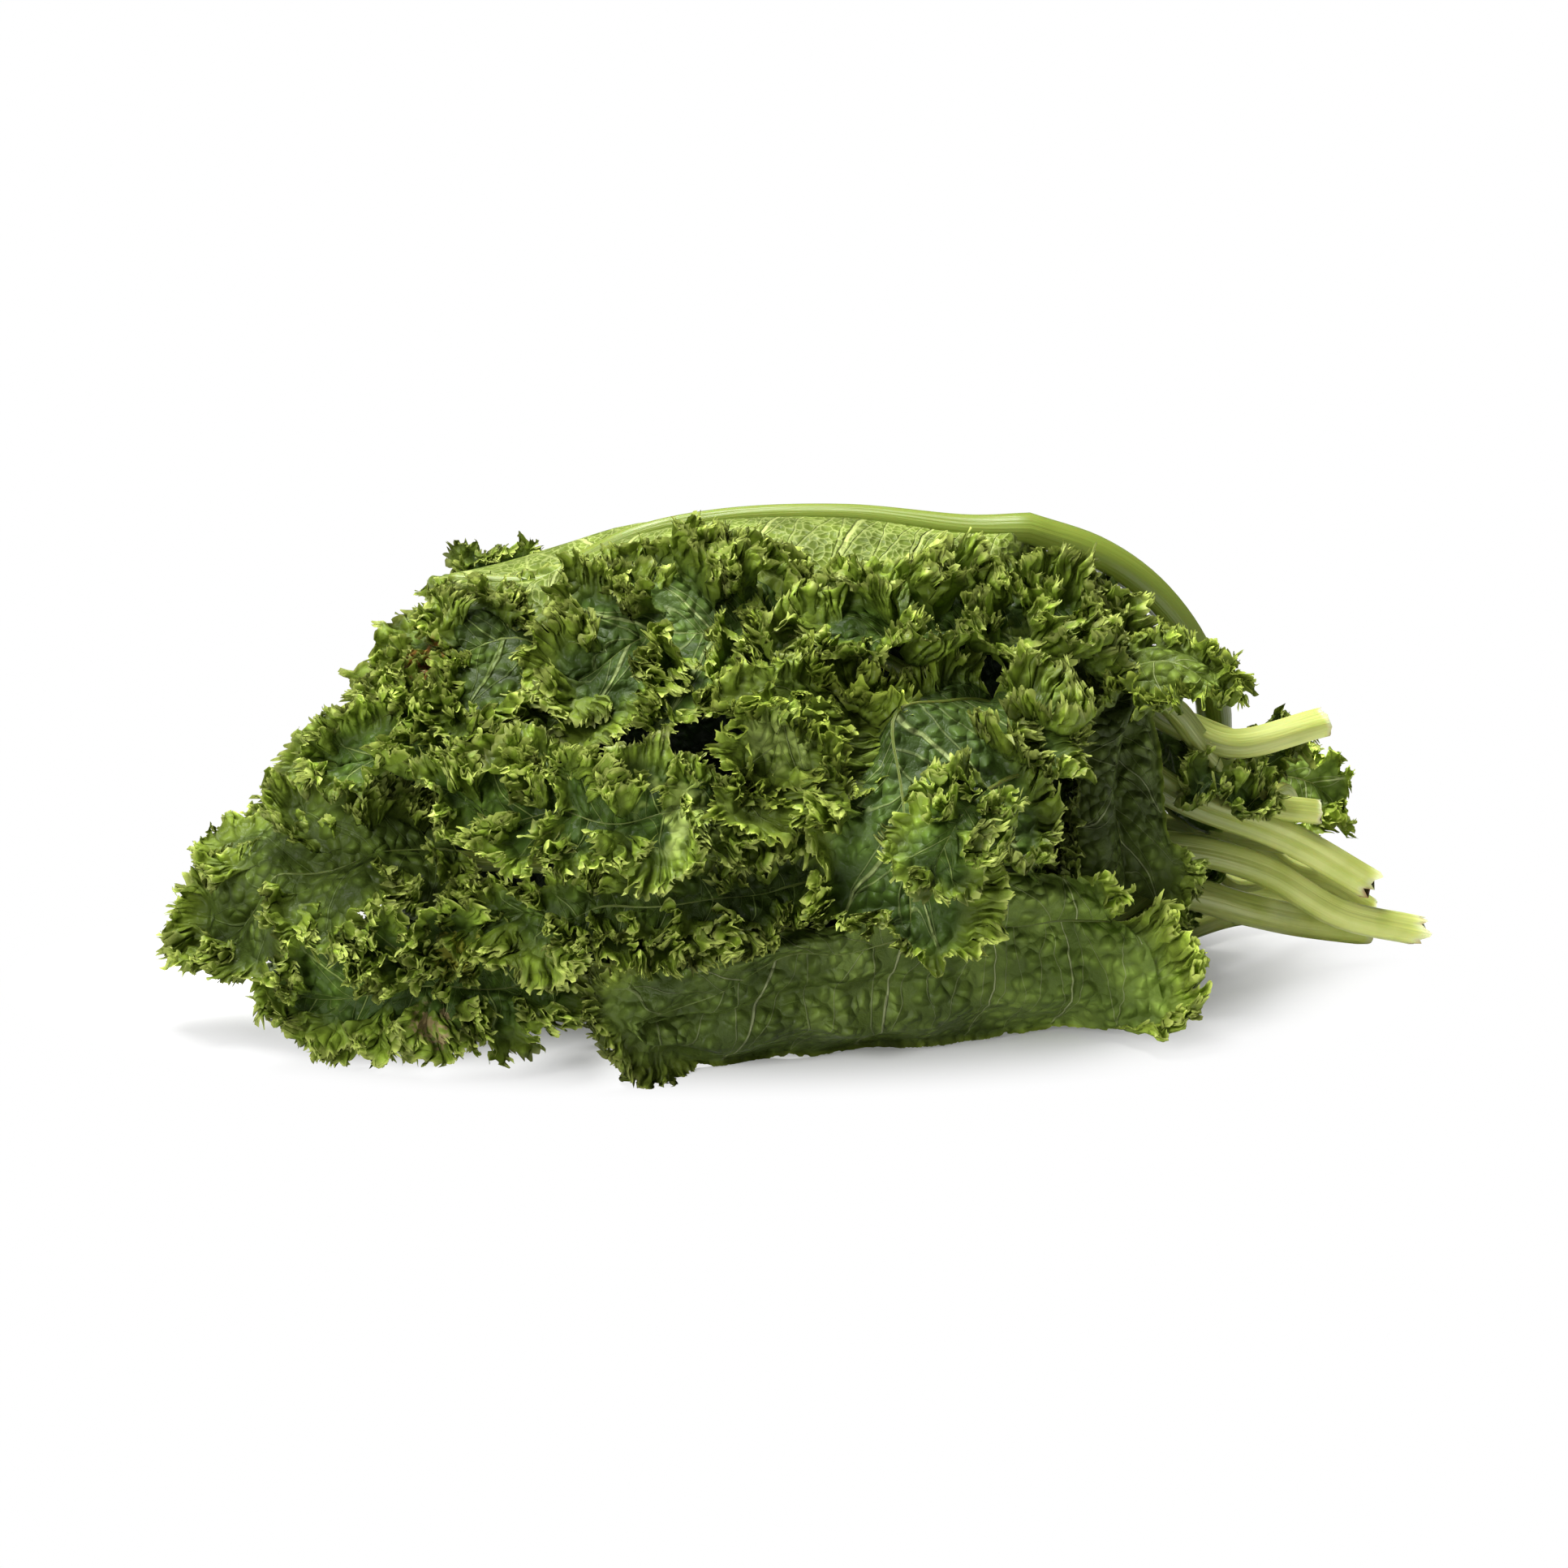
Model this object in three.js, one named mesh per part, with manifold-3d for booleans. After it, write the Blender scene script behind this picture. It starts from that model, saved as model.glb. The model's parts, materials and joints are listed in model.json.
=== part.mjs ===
// A bunch of curly mustard greens lying on its side, stems towards +X.
// Millimetres, +Z up. The origin is at the middle of the bunch's footprint, on the surface it lies on.
// Every leaf is one closed solid: a round stalk that runs into a thick, bent leaf blade.

import * as THREE from "three";
import { mergeVertices } from "three/addons/utils/BufferGeometryUtils.js";
import Module from "manifold-3d";

const wasm = await Module();
wasm.setup();

// ---------- driving dimensions ----------

const bunchCentre = [11.3, -2.4]; // x and y of the footprint's middle in the numbers of the leaf list
const bladeHalfThickness = 3; // half the thickness of the solid near the rib
const edgeHalfThickness = 4.5; // half the thickness of the solid near the ruffled edge
const frillReach = 0.4; // share of the ruffle's depth that the solid covers
const leafGap = 0.4; // clear space kept between two leaves
const ringSides = 12; // points round a leaf's cross-section
const bladeStations = 9; // cross-sections along a blade
const stalkStep = 24; // distance between cross-sections along a stalk
const ribTaper = 0.35; // rib radius at the tip as a share of the stalk's
const tipReach = 0.7; // how much of the solid's share of the ruffle stands past the tip of the rib
const tipRounding = 4; // the higher, the later the blade's outline starts to close towards its tip
const groundSize = [800, 600, 60]; // the slab that stands for the surface below the bunch
const leafRoughness = 0.55;
const mergeDistance = 1e-4; // points closer than this are one point of a solid

// ---------- the leaves, front ones first ----------
// stalk: points from the cut end to the foot of the blade. rib: points from there to the leaf's tip.
// left, right: the two edges of the smooth blade, as seen from above its upper face with the tip ahead.
// bulge: how far the left and the right half rise towards the upper face. frill: depth of the ruffle.

const leaves = [
  {
    name: "inner_curl_leaf", radius: 2.2, frill: 22, bulge: [3, 3], colour: "#6f9a2c",
    stalk: [[95, -60, 100], [80, -85, 105], [65, -105, 105]],
    rib: [[55, -120, 100], [45, -130, 80]],
    left: [[70, -115, 100], [65, -125, 85], [55, -130, 75]],
    right: [[50, -110, 105], [35, -120, 95], [35, -130, 80]],
  },
  {
    name: "centre_leaf", radius: 6, frill: 30, bulge: [6, 6], colour: "#5f8d30",
    stalk: [[210, 25, 30], [180, 15, 50], [135, -10, 75], [100, -30, 105], [70, -50, 120]],
    rib: [[50, -65, 125], [35, -85, 120], [35, -100, 105], [40, -115, 75], [40, -120, 60]],
    left: [[80, -70, 120], [95, -90, 110], [95, -100, 90], [75, -115, 65], [55, -120, 55]],
    right: [[45, -55, 125], [30, -75, 110], [20, -90, 90], [5, -100, 70], [25, -115, 55]],
  },
  {
    name: "front_dark_leaf", radius: 6, frill: 24, bulge: [9, 5], colour: "#3f6b2d",
    stalk: [[215, 45, 5], [190, 40, 10], [165, 10, 25], [135, -15, 40], [110, -45, 40]],
    rib: [[90, -60, 45], [30, -85, 45], [0, -90, 40], [-55, -100, 20]],
    left: [
      [120, -55, 30], [130, -60, 15], [120, -60, 5], [90, -50, 2],
      [50, -60, 2], [10, -70, 2], [-40, -85, 5],
    ],
    right: [[100, -50, 55], [75, -60, 60], [35, -75, 55], [5, -85, 50], [-40, -95, 40], [-60, -100, 30]],
  },
  {
    name: "ruffle_leaf", radius: 3, frill: 28, bulge: [5, 5], colour: "#5f9a38",
    stalk: [[40, -30, 65], [15, -55, 80], [-5, -75, 90]],
    rib: [[-25, -95, 95], [-70, -105, 95], [-115, -85, 95]],
    left: [[-10, -90, 80], [-30, -105, 80], [-80, -110, 80], [-100, -100, 85]],
    right: [[-10, -80, 100], [-35, -90, 110], [-85, -85, 110], [-105, -75, 105]],
  },
  {
    name: "mid_leaf", radius: 2.8, frill: 26, bulge: [5, 5], colour: "#6c9a3a",
    stalk: [[45, -20, 115], [25, -50, 120]],
    rib: [[10, -70, 125], [0, -85, 120], [-10, -105, 95]],
    left: [[30, -70, 115], [30, -90, 105], [10, -105, 85]],
    right: [[10, -60, 130], [-10, -80, 130], [-25, -90, 125], [-20, -105, 95]],
  },
  {
    name: "lower_mid_leaf", radius: 5.5, frill: 26, bulge: [5, 5], colour: "#4f8030",
    stalk: [
      [230, 30, 10], [200, 20, 20], [170, 10, 40], [135, -10, 55],
      [90, -30, 60], [50, -55, 65], [15, -75, 65],
    ],
    rib: [[-10, -90, 65], [-65, -105, 65], [-110, -90, 55]],
    left: [[0, -85, 55], [-25, -95, 50], [-75, -105, 45], [-95, -95, 50]],
    right: [[-5, -80, 70], [-30, -90, 75], [-75, -95, 75], [-100, -90, 65]],
  },
  {
    name: "bottom_left_leaf", radius: 3.2, frill: 28, bulge: [6, 5], colour: "#588a30",
    stalk: [[-20, -45, 20], [-50, -60, 25], [-75, -70, 30]],
    rib: [[-95, -85, 30], [-130, -90, 30], [-170, -80, 25]],
    left: [[-75, -80, 20], [-100, -90, 15], [-145, -80, 15], [-165, -80, 20]],
    right: [[-80, -80, 45], [-105, -85, 55], [-130, -90, 65], [-165, -80, 45]],
  },
  {
    name: "left_tip_leaf", radius: 3.2, frill: 28, bulge: [6, 7], colour: "#7ba53a",
    stalk: [[-85, -30, 55], [-115, -40, 60]],
    rib: [[-135, -45, 65], [-155, -50, 60], [-175, -50, 55], [-200, -40, 25]],
    left: [[-125, -65, 45], [-145, -70, 40], [-170, -70, 30], [-190, -55, 20]],
    right: [[-130, -30, 70], [-150, -30, 80], [-175, -25, 75], [-205, -20, 45]],
  },
  {
    name: "left_upper_leaf", radius: 2.8, frill: 25, bulge: [5, 5], colour: "#7fa53a",
    stalk: [[-70, 0, 85], [-100, -20, 90]],
    rib: [[-110, -35, 100], [-130, -45, 100], [-160, -40, 90]],
    left: [[-95, -45, 80], [-115, -60, 85], [-155, -55, 85]],
    right: [[-100, -20, 105], [-125, -20, 110], [-145, -20, 110], [-165, -25, 105]],
  },
  {
    name: "upper_left_leaf", radius: 3, frill: 27, bulge: [5, 6], colour: "#68963a",
    stalk: [[-25, 15, 110], [-55, 0, 125]],
    rib: [[-75, -10, 125], [-100, -15, 130], [-140, -10, 110]],
    left: [[-50, -40, 100], [-75, -55, 95], [-100, -55, 95], [-140, -20, 105]],
    right: [[-70, 15, 135], [-95, 15, 140], [-120, 10, 135], [-140, 0, 120]],
  },
  {
    name: "centre_top_leaf", radius: 3, frill: 26, bulge: [9, 7], colour: "#47752c",
    stalk: [[50, 5, 110], [25, 0, 125], [5, -10, 135]],
    rib: [[-15, -20, 140], [-45, -35, 140], [-75, -45, 125]],
    left: [[-5, -40, 120], [-20, -55, 110], [-55, -65, 105], [-70, -55, 105]],
    right: [[-5, 0, 150], [-20, 0, 155], [-60, -10, 155], [-75, -20, 145], [-80, -35, 135]],
  },
  {
    name: "upper_mid_leaf", radius: 5.5, frill: 28, bulge: [6, 6], colour: "#5f9132",
    stalk: [[190, 10, 95], [155, 0, 90], [135, 0, 100], [115, -5, 120]],
    rib: [[95, -10, 130], [70, -20, 135], [45, -35, 140], [0, -50, 135]],
    left: [[105, -30, 115], [80, -50, 120], [50, -60, 125], [5, -60, 130]],
    right: [[110, 10, 130], [90, 5, 140], [35, -15, 145], [10, -25, 140]],
  },
  {
    name: "upper_right_leaf", radius: 2.6, frill: 20, bulge: [3, 3], colour: "#76a040",
    stalk: [[170, 30, 80], [145, 10, 95], [120, -5, 110], [110, -10, 120]],
    rib: [[115, -25, 125], [135, -40, 125], [150, -45, 115]],
    left: [[115, -20, 125], [140, -30, 130], [150, -40, 120]],
    right: [[110, -30, 115], [120, -45, 115], [145, -50, 115]],
  },
  {
    name: "side_dark_leaf", radius: 4.5, frill: 12, bulge: [3, 6], colour: "#39602c",
    stalk: [[190, 15, 60], [170, 10, 65], [150, 0, 85], [135, -10, 105], [120, -20, 115]],
    rib: [[115, -30, 100], [115, -35, 60], [115, -35, 40]],
    left: [[125, -20, 105], [130, -30, 70], [135, -30, 55], [130, -30, 40]],
    right: [[105, -35, 110], [100, -40, 95], [100, -45, 55], [105, -40, 40]],
  },
  {
    name: "stem_curl_leaf", radius: 2.4, frill: 18, bulge: [3, 3], colour: "#5d8c30",
    stalk: [[185, 35, 55], [180, 25, 65], [170, 15, 70]],
    rib: [[160, 0, 70], [145, -10, 80], [135, -15, 75]],
    left: [[165, 0, 60], [150, -10, 60], [140, -20, 65]],
    right: [[165, 10, 80], [150, 0, 85], [135, -5, 85]],
  },
  {
    name: "arch_leaf", radius: 7, frill: 22, bulge: [-4, -7], colour: "#8fb23f",
    stalk: [
      [150, 55, 25], [155, 55, 60], [155, 50, 90], [145, 45, 115],
      [130, 40, 135], [110, 35, 150], [85, 30, 160],
    ],
    rib: [
      [65, 30, 160], [20, 30, 165], [-25, 25, 165], [-55, 20, 160],
      [-75, 20, 150], [-85, 15, 145], [-105, 15, 145], [-125, 20, 145],
    ],
    left: [
      [75, 80, 125], [40, 110, 100], [0, 105, 110], [-35, 60, 150],
      [-55, 50, 155], [-80, 50, 150], [-105, 40, 145],
    ],
    right: [
      [70, 10, 150], [50, -5, 145], [10, -10, 150], [-35, -10, 150],
      [-65, -5, 145], [-80, 0, 140], [-105, 10, 140],
    ],
  },
  {
    name: "stem_back_leaf", radius: 2.4, frill: 14, bulge: [3, 3], colour: "#3f6f26",
    stalk: [[170, 60, 55], [175, 60, 60]],
    rib: [[185, 60, 60], [200, 60, 50], [205, 60, 45]],
    left: [[185, 65, 65], [200, 65, 65], [210, 60, 50]],
    right: [[180, 55, 50], [190, 55, 45], [200, 55, 40]],
  },
  {
    name: "stem_tuft_leaf", radius: 2.2, frill: 14, bulge: [2, 2], colour: "#4a7a2a",
    stalk: [[145, 30, 55], [155, 30, 60]],
    rib: [[165, 35, 65], [180, 30, 85]],
    left: [[160, 30, 75], [175, 30, 90]],
    right: [[170, 35, 65], [185, 35, 80]],
  },
  {
    name: "top_left_leaflet", radius: 1.8, frill: 12, bulge: [2, 2], colour: "#6a9a32",
    stalk: [[-70, 85, 110], [-85, 85, 120]],
    rib: [[-100, 85, 125], [-115, 85, 140]],
    left: [[-100, 90, 115], [-120, 85, 130]],
    right: [[-85, 85, 130], [-100, 80, 145]],
  },
  {
    name: "back_upper_leaf", radius: 5, frill: 24, bulge: [7, 7], colour: "#4d7d2e",
    stalk: [[205, 62, 14], [180, 68, 32], [155, 74, 50], [130, 77, 62]],
    rib: [[60, 95, 72], [-20, 102, 74], [-80, 98, 70], [-115, 90, 62]],
    left: [[100, 72, 92], [40, 84, 106], [-30, 88, 106], [-90, 82, 96]],
    right: [[105, 92, 38], [40, 108, 42], [-30, 114, 42], [-95, 106, 38]],
  },
  {
    name: "back_mid_leaf", radius: 3.5, frill: 24, bulge: [6, 6], colour: "#55852e",
    stalk: [[134, 52, 66], [118, 54, 82]],
    rib: [[92, 58, 96], [52, 62, 104], [6, 62, 106], [-36, 58, 104], [-62, 52, 98]],
    left: [[102, 44, 112], [56, 44, 130], [6, 46, 134], [-42, 44, 130]],
    right: [[96, 70, 84], [50, 76, 86], [4, 78, 88], [-40, 72, 86]],
  },
  {
    name: "back_left_leaf", radius: 3.5, frill: 26, bulge: [7, 7], colour: "#5d8f34",
    stalk: [[-35, 58, 66], [-65, 62, 74], [-92, 62, 78]],
    rib: [[-120, 62, 80], [-143, 55, 74], [-166, 44, 60], [-187, 28, 42]],
    left: [[-100, 36, 104], [-129, 32, 104], [-155, 22, 91], [-179, 8, 68]],
    right: [[-115, 84, 50], [-140, 80, 40], [-166, 64, 28], [-189, 42, 23]],
  },
  {
    name: "back_low_leaf", radius: 4.5, frill: 22, bulge: [5, 5], colour: "#44712c",
    stalk: [[212, 78, 6], [185, 82, 8], [155, 88, 11]],
    rib: [[110, 98, 14], [60, 108, 16], [-10, 113, 17], [-80, 108, 16], [-128, 98, 13]],
    left: [[110, 84, 26], [50, 92, 30], [-20, 97, 30], [-90, 92, 28]],
    right: [[115, 110, 4], [50, 122, 3], [-20, 127, 3], [-90, 119, 3]],
  },
  {
    name: "stem_shade_leaf", radius: 2.2, frill: 14, bulge: [3, 3], colour: "#35601f",
    stalk: [[185, 60, 20], [170, 50, 20], [155, 40, 25]],
    rib: [[145, 30, 25], [125, 5, 30], [115, -20, 25]],
    left: [[145, 35, 15], [130, 10, 10], [120, -5, 10]],
    right: [[145, 30, 40], [130, 5, 45], [120, -10, 40]],
  },
  {
    name: "mouth_leaf", radius: 4.2, frill: 18, bulge: [4, 4], colour: "#477428",
    stalk: [[215, 40, 15], [200, 40, 25], [185, 40, 30], [165, 35, 45], [145, 25, 50]],
    rib: [[135, 20, 65], [130, 20, 80], [120, 20, 110], [110, 30, 135]],
    left: [[140, 5, 60], [135, 0, 80], [120, 5, 110], [110, 20, 130]],
    right: [[135, 40, 60], [125, 45, 80], [120, 45, 110], [110, 40, 135]],
  },
  {
    name: "inner_wall_leaf", radius: 2.6, frill: 16, bulge: [3, 3], colour: "#3c6624",
    stalk: [[130, 15, 30], [110, 0, 40], [95, -15, 50]],
    rib: [[85, -30, 60], [75, -60, 75], [75, -70, 80]],
    left: [[90, -20, 40], [80, -50, 45], [75, -60, 60]],
    right: [[85, -20, 85], [80, -55, 100], [75, -65, 90]],
  },
  {
    name: "core_leaf", radius: 4, frill: 20, bulge: [5, 5], colour: "#31551f",
    stalk: [[192, 36, 40], [160, 32, 46], [128, 28, 54]],
    rib: [[95, 22, 66], [50, 12, 80], [0, 6, 85], [-60, 4, 80], [-110, 2, 68], [-140, 0, 55]],
    left: [[98, 22, 34], [60, 14, 14], [10, 10, 12], [-60, 6, 12], [-120, 0, 20]],
    right: [[104, 26, 92], [88, 24, 118], [50, 14, 134], [-20, 12, 136], [-80, 8, 126], [-125, 4, 98]],
  },
  {
    name: "core_low_leaf", radius: 4.5, frill: 20, bulge: [0, 0], colour: "#2f5420",
    stalk: [[203, 64, 5], [170, 58, 7], [135, 30, 6]],
    rib: [[90, 4, 4], [30, -4, 4], [-50, -6, 4], [-120, -8, 4], [-178, -16, 5]],
    left: [[85, -12, 4], [20, -14, 4], [-50, -16, 4], [-110, -24, 4], [-165, -28, 4]],
    right: [[90, 52, 2], [20, 64, 2], [-50, 62, 2], [-120, 46, 2], [-172, 20, 3]],
  },
];

// ---------- shapes ----------

const point = (p) => new THREE.Vector3(p[0] - bunchCentre[0], p[1] - bunchCentre[1], p[2]);

function curveThrough(points) {
  return new THREE.CatmullRomCurve3(points.map(point), false, "centripetal");
}

// The rib and both edges of a blade as curves that share the blade's foot and tip.
function bladeCurves(leaf) {
  const foot = leaf.stalk.at(-1);
  const tip = leaf.rib.at(-1);
  return {
    rib: curveThrough([foot, ...leaf.rib]),
    left: curveThrough([foot, ...leaf.left, tip]),
    right: curveThrough([foot, ...leaf.right, tip]),
  };
}

// The upper face's direction of each half of the blade, at one cross-section.
function halfNormals(rib, left, right, along) {
  const ofLeft = along.clone().cross(left.clone().sub(rib)).normalize();
  const ofRight = right.clone().sub(rib).cross(along).normalize();
  return { left: ofLeft, right: ofRight, rib: ofLeft.clone().add(ofRight).normalize() };
}

// One cross-section of the blade: left edge, across the upper face to the right edge, and back below.
function bladeRing(leaf, curves, at, grow) {
  const rib = curves.rib.getPointAt(at);
  const along = curves.rib.getTangentAt(at);
  const edges = { left: curves.left.getPointAt(at), right: curves.right.getPointAt(at) };
  const normals = halfNormals(rib, edges.left, edges.right, along);
  const slim = Math.sqrt(Math.max(0, 1 - at ** tipRounding));
  const ribRadius = leaf.radius * THREE.MathUtils.lerp(1, ribTaper, at);
  const ring = [];
  for (let i = 0; i < ringSides; i++) {
    const above = i <= ringSides / 2 ? 1 : -1;
    const step = above > 0 ? i : ringSides - i;
    const atRib = step === ringSides / 4;
    const atEdge = step === 0 || step === ringSides / 2;
    const q = Math.abs(step / (ringSides / 4) - 1);
    const side = step < ringSides / 4 ? "left" : "right";
    const normal = atRib ? normals.rib : normals[side];
    const outward = edges[side].clone().sub(rib);
    const reach = outward.length() + leaf.frill * frillReach * slim + grow;
    const bulge = (side === "left" ? leaf.bulge[0] : leaf.bulge[1]) * Math.sin(Math.PI * q) * slim;
    const flat = THREE.MathUtils.lerp(bladeHalfThickness, edgeHalfThickness, q);
    const half = atEdge ? 0 : Math.max(flat, atRib ? ribRadius : 0) + grow;
    const place = rib.clone().addScaledVector(outward.normalize(), reach * q);
    ring.push(place.addScaledVector(normal, bulge + above * half));
  }
  return { ring, normal: normals.rib };
}

// Round cross-sections from the cut end to the foot of the blade, turned so that they meet the blade's.
function stalkRings(leaf, upAtFoot, grow) {
  const curve = curveThrough(leaf.stalk);
  const steps = Math.max(2, Math.round(curve.getLength() / stalkStep));
  const rings = [];
  let up = upAtFoot.clone();
  for (let k = steps; k >= 0; k--) {
    const centre = curve.getPointAt(k / steps);
    const along = curve.getTangentAt(k / steps);
    if (k === 0) centre.addScaledVector(along, -grow);
    up = up.addScaledVector(along, -up.dot(along)).normalize();
    const rightward = along.clone().cross(up);
    const ring = [];
    for (let i = 0; i < ringSides; i++) {
      const turn = Math.PI - (Math.PI * 2 * i) / ringSides;
      const out = rightward.clone().multiplyScalar(Math.cos(turn)).addScaledVector(up, Math.sin(turn));
      ring.push(centre.clone().addScaledVector(out, leaf.radius + grow));
    }
    rings.unshift(ring);
  }
  return rings;
}

// A closed mesh through the rings, with a flat fan on the first and a point after the last.
function skin(rings, lastPoint) {
  const positions = [];
  const triangles = [];
  const add = (p) => positions.push(p.x, p.y, p.z) / 3 - 1;
  const indices = rings.map((ring) => ring.map(add));
  for (let k = 0; k + 1 < rings.length; k++) {
    for (let i = 0; i < ringSides; i++) {
      const j = (i + 1) % ringSides;
      triangles.push(indices[k][i], indices[k][j], indices[k + 1][j]);
      triangles.push(indices[k][i], indices[k + 1][j], indices[k + 1][i]);
    }
  }
  const start = add(rings[0].reduce((sum, p) => sum.add(p), new THREE.Vector3()).divideScalar(ringSides));
  const end = add(lastPoint);
  for (let i = 0; i < ringSides; i++) {
    const j = (i + 1) % ringSides;
    triangles.push(start, indices[0][j], indices[0][i]);
    triangles.push(end, indices.at(-1)[i], indices.at(-1)[j]);
  }
  const geometry = new THREE.BufferGeometry();
  geometry.setAttribute("position", new THREE.Float32BufferAttribute(positions, 3));
  geometry.setIndex(triangles);
  return geometry;
}

// The whole leaf, with every surface moved outwards by grow.
function leafGeometry(leaf, grow) {
  const curves = bladeCurves(leaf);
  const blade = [];
  for (let k = 1; k < bladeStations; k++) blade.push(bladeRing(leaf, curves, k / bladeStations, grow));
  const rings = [...stalkRings(leaf, blade[0].normal, grow), ...blade.map((section) => section.ring)];
  const reach = leaf.frill * frillReach * tipReach + grow;
  const tip = curves.rib.getPointAt(1).addScaledVector(curves.rib.getTangentAt(1), reach);
  return skin(rings, tip);
}

// ---------- joining and cutting ----------

function toManifold(geometry) {
  const bare = geometry.clone();
  bare.deleteAttribute("normal");
  bare.deleteAttribute("uv");
  const merged = mergeVertices(bare, mergeDistance);
  const solid = new wasm.Mesh({
    numProp: 3,
    vertProperties: new Float32Array(merged.attributes.position.array),
    triVerts: new Uint32Array(merged.index.array),
  });
  return new wasm.Manifold(solid);
}

function toGeometry(solid) {
  const mesh = solid.getMesh();
  const geometry = new THREE.BufferGeometry();
  geometry.setAttribute("position", new THREE.Float32BufferAttribute(mesh.vertProperties, 3));
  geometry.setIndex([...mesh.triVerts]);
  geometry.computeVertexNormals();
  return geometry;
}

function largestPiece(solid) {
  return solid.decompose().reduce((best, piece) => (piece.volume() > best.volume() ? piece : best));
}

// The ground as a slab under z = 0, which flattens what would sink into it.
function groundSlab() {
  const slab = new THREE.BoxGeometry(...groundSize);
  slab.translate(0, 0, -groundSize[2] / 2);
  return toManifold(slab);
}

// ---------- the bunch ----------

// What later leaves are cut back from: every leaf so far, as it is and grown by the gap.
function cutBack(solid, box, taken) {
  for (const other of taken) {
    if (!box.intersectsBox(other.box)) continue;
    solid = solid.subtract(other.clearance).subtract(other.solid);
  }
  return largestPiece(solid);
}

const bunch = new THREE.Group();
const ground = groundSlab();
const taken = [];

for (const leaf of leaves) {
  const grown = leafGeometry(leaf, leafGap);
  grown.computeBoundingBox();
  const whole = toManifold(leafGeometry(leaf, 0)).subtract(ground);
  const solid = cutBack(whole, grown.boundingBox, taken);
  taken.push({ box: grown.boundingBox, clearance: toManifold(grown), solid });
  const look = { color: leaf.colour, roughness: leafRoughness, metalness: 0 };
  const material = new THREE.MeshStandardMaterial(look);
  const mesh = new THREE.Mesh(toGeometry(solid), material);
  mesh.name = leaf.name;
  bunch.add(mesh);
}

export default bunch;
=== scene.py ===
"""The looks of a bunch of curly mustard greens lying on its side.

Lengths are in millimetres until a mesh is made. Places in materials, lamps and the floor are in metres.
"""

import json
import math

import bpy
import numpy as np
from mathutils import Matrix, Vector


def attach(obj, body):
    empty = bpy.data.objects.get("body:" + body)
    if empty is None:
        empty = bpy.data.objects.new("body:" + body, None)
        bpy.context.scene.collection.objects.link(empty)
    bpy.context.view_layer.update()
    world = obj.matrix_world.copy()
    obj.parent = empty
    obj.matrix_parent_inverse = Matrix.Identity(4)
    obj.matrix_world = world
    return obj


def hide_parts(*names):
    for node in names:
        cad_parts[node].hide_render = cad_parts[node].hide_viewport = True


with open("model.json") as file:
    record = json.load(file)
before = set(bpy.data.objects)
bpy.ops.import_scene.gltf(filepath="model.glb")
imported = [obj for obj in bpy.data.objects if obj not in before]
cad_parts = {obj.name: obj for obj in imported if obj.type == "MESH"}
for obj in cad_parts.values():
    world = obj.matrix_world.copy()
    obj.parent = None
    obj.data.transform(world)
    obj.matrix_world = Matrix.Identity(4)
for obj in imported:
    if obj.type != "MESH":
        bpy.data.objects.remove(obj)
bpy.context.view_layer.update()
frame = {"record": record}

# ---------- driving dimensions ----------

MM = 0.001
BUNCH_CENTRE = np.array([11.3, -2.4, 0.0])  # the footprint's middle, to a millimetre, in the leaf list
GROUND_CLEARANCE = 0.3

CURVE_STEPS = 40  # straight steps between two of a curve's points
RIB_STATIONS = 161
EDGE_STATIONS = 900
BASE_SPACING = 0.25  # between the places worked out along the smooth blade's edge
EDGE_SPACING = 0.25  # between columns of points along the ruffle's outer edge
UP_SOFTENING = 60  # stations that a direction is averaged over
OUT_SOFTENING = 24

BLADE_ROWS = 5
PUCKER = 1.2
# share of the half blade's width that is smooth between the lobes and in them, and the lobes' pitch
LOBES = (0.0, 0.6, 17.0)
LOBE_WANDER = 0.35  # in lobes
VEIN_LEAN = 0.62  # how far a side vein runs forward for its width
LAST_VEIN = 0.94  # share of the rib

FRILL_DEPTH = 12.5
FRILL_RISE = 1.0  # radians
FRILL_FOOT = 0.08  # share of the depth that is left where there is no ruffle
FADE_LENGTH = 10.0  # over which the ruffle starts and stops
BARE_STRENGTH = 0.9
BARE_FADE = 0.02
# rows out along the ruffle and their length; the columns double before each group of rows
FRILL_STEPS = ((2, 3.0), (2, 2.5), (2, 1.9), (1, 1.3))
WAVES = ((2.6, 6.6), (1.5, 4.1), (0.3, 2.6))  # reach and pitch of the ruffle's broad, middle and fine waves
WAVE_JITTER = 0.5
LOOP_ROUNDNESS = 0.3
FINE_ROUNDNESS = 0.1
LOBE_PITCH = 4.7
LOBE_DEPTH = 2.6
LOBE_TILT = 1.6
TOOTH = (0.0, 0.5, 0.95, 1.0, 0.6, 0.25)  # outline of a tooth, column by column
TOOTH_DEPTH = 1.5

CRUMPLE_WAVES = 7
FRILL_CRUMPLES = ((9.0, 2.8), (4.6, 1.1))  # length and reach of the random bends in the ruffle
LEAF_BEND = (34.0, 4.0)  # length and reach of the random bends in the whole leaf

STALK_STATIONS = 40
STALK_SIDES = 20
RIB_STEP = 4  # between the rings of a midrib
RIB_END = 0.97  # share of the rib where its tube ends
# place round the stalk and half width in radians, and depth as a share of the radius
GROOVE = (0.5 * math.pi, 0.55, 0.28)
RIDGES_ROUND = 7
RIDGE_HEIGHT = 0.035
TORN = 1.2  # how far the cut end is ragged
RIB_RADIUS = 1.0
RIB_TAPER = 0.3  # rib radius at the tip as a share of the rib's at the foot
RIB_SINK = 0.55  # how far the rib sinks into the blade, in its radii

# ---------- the leaves, the same routes as the solids ----------

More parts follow.
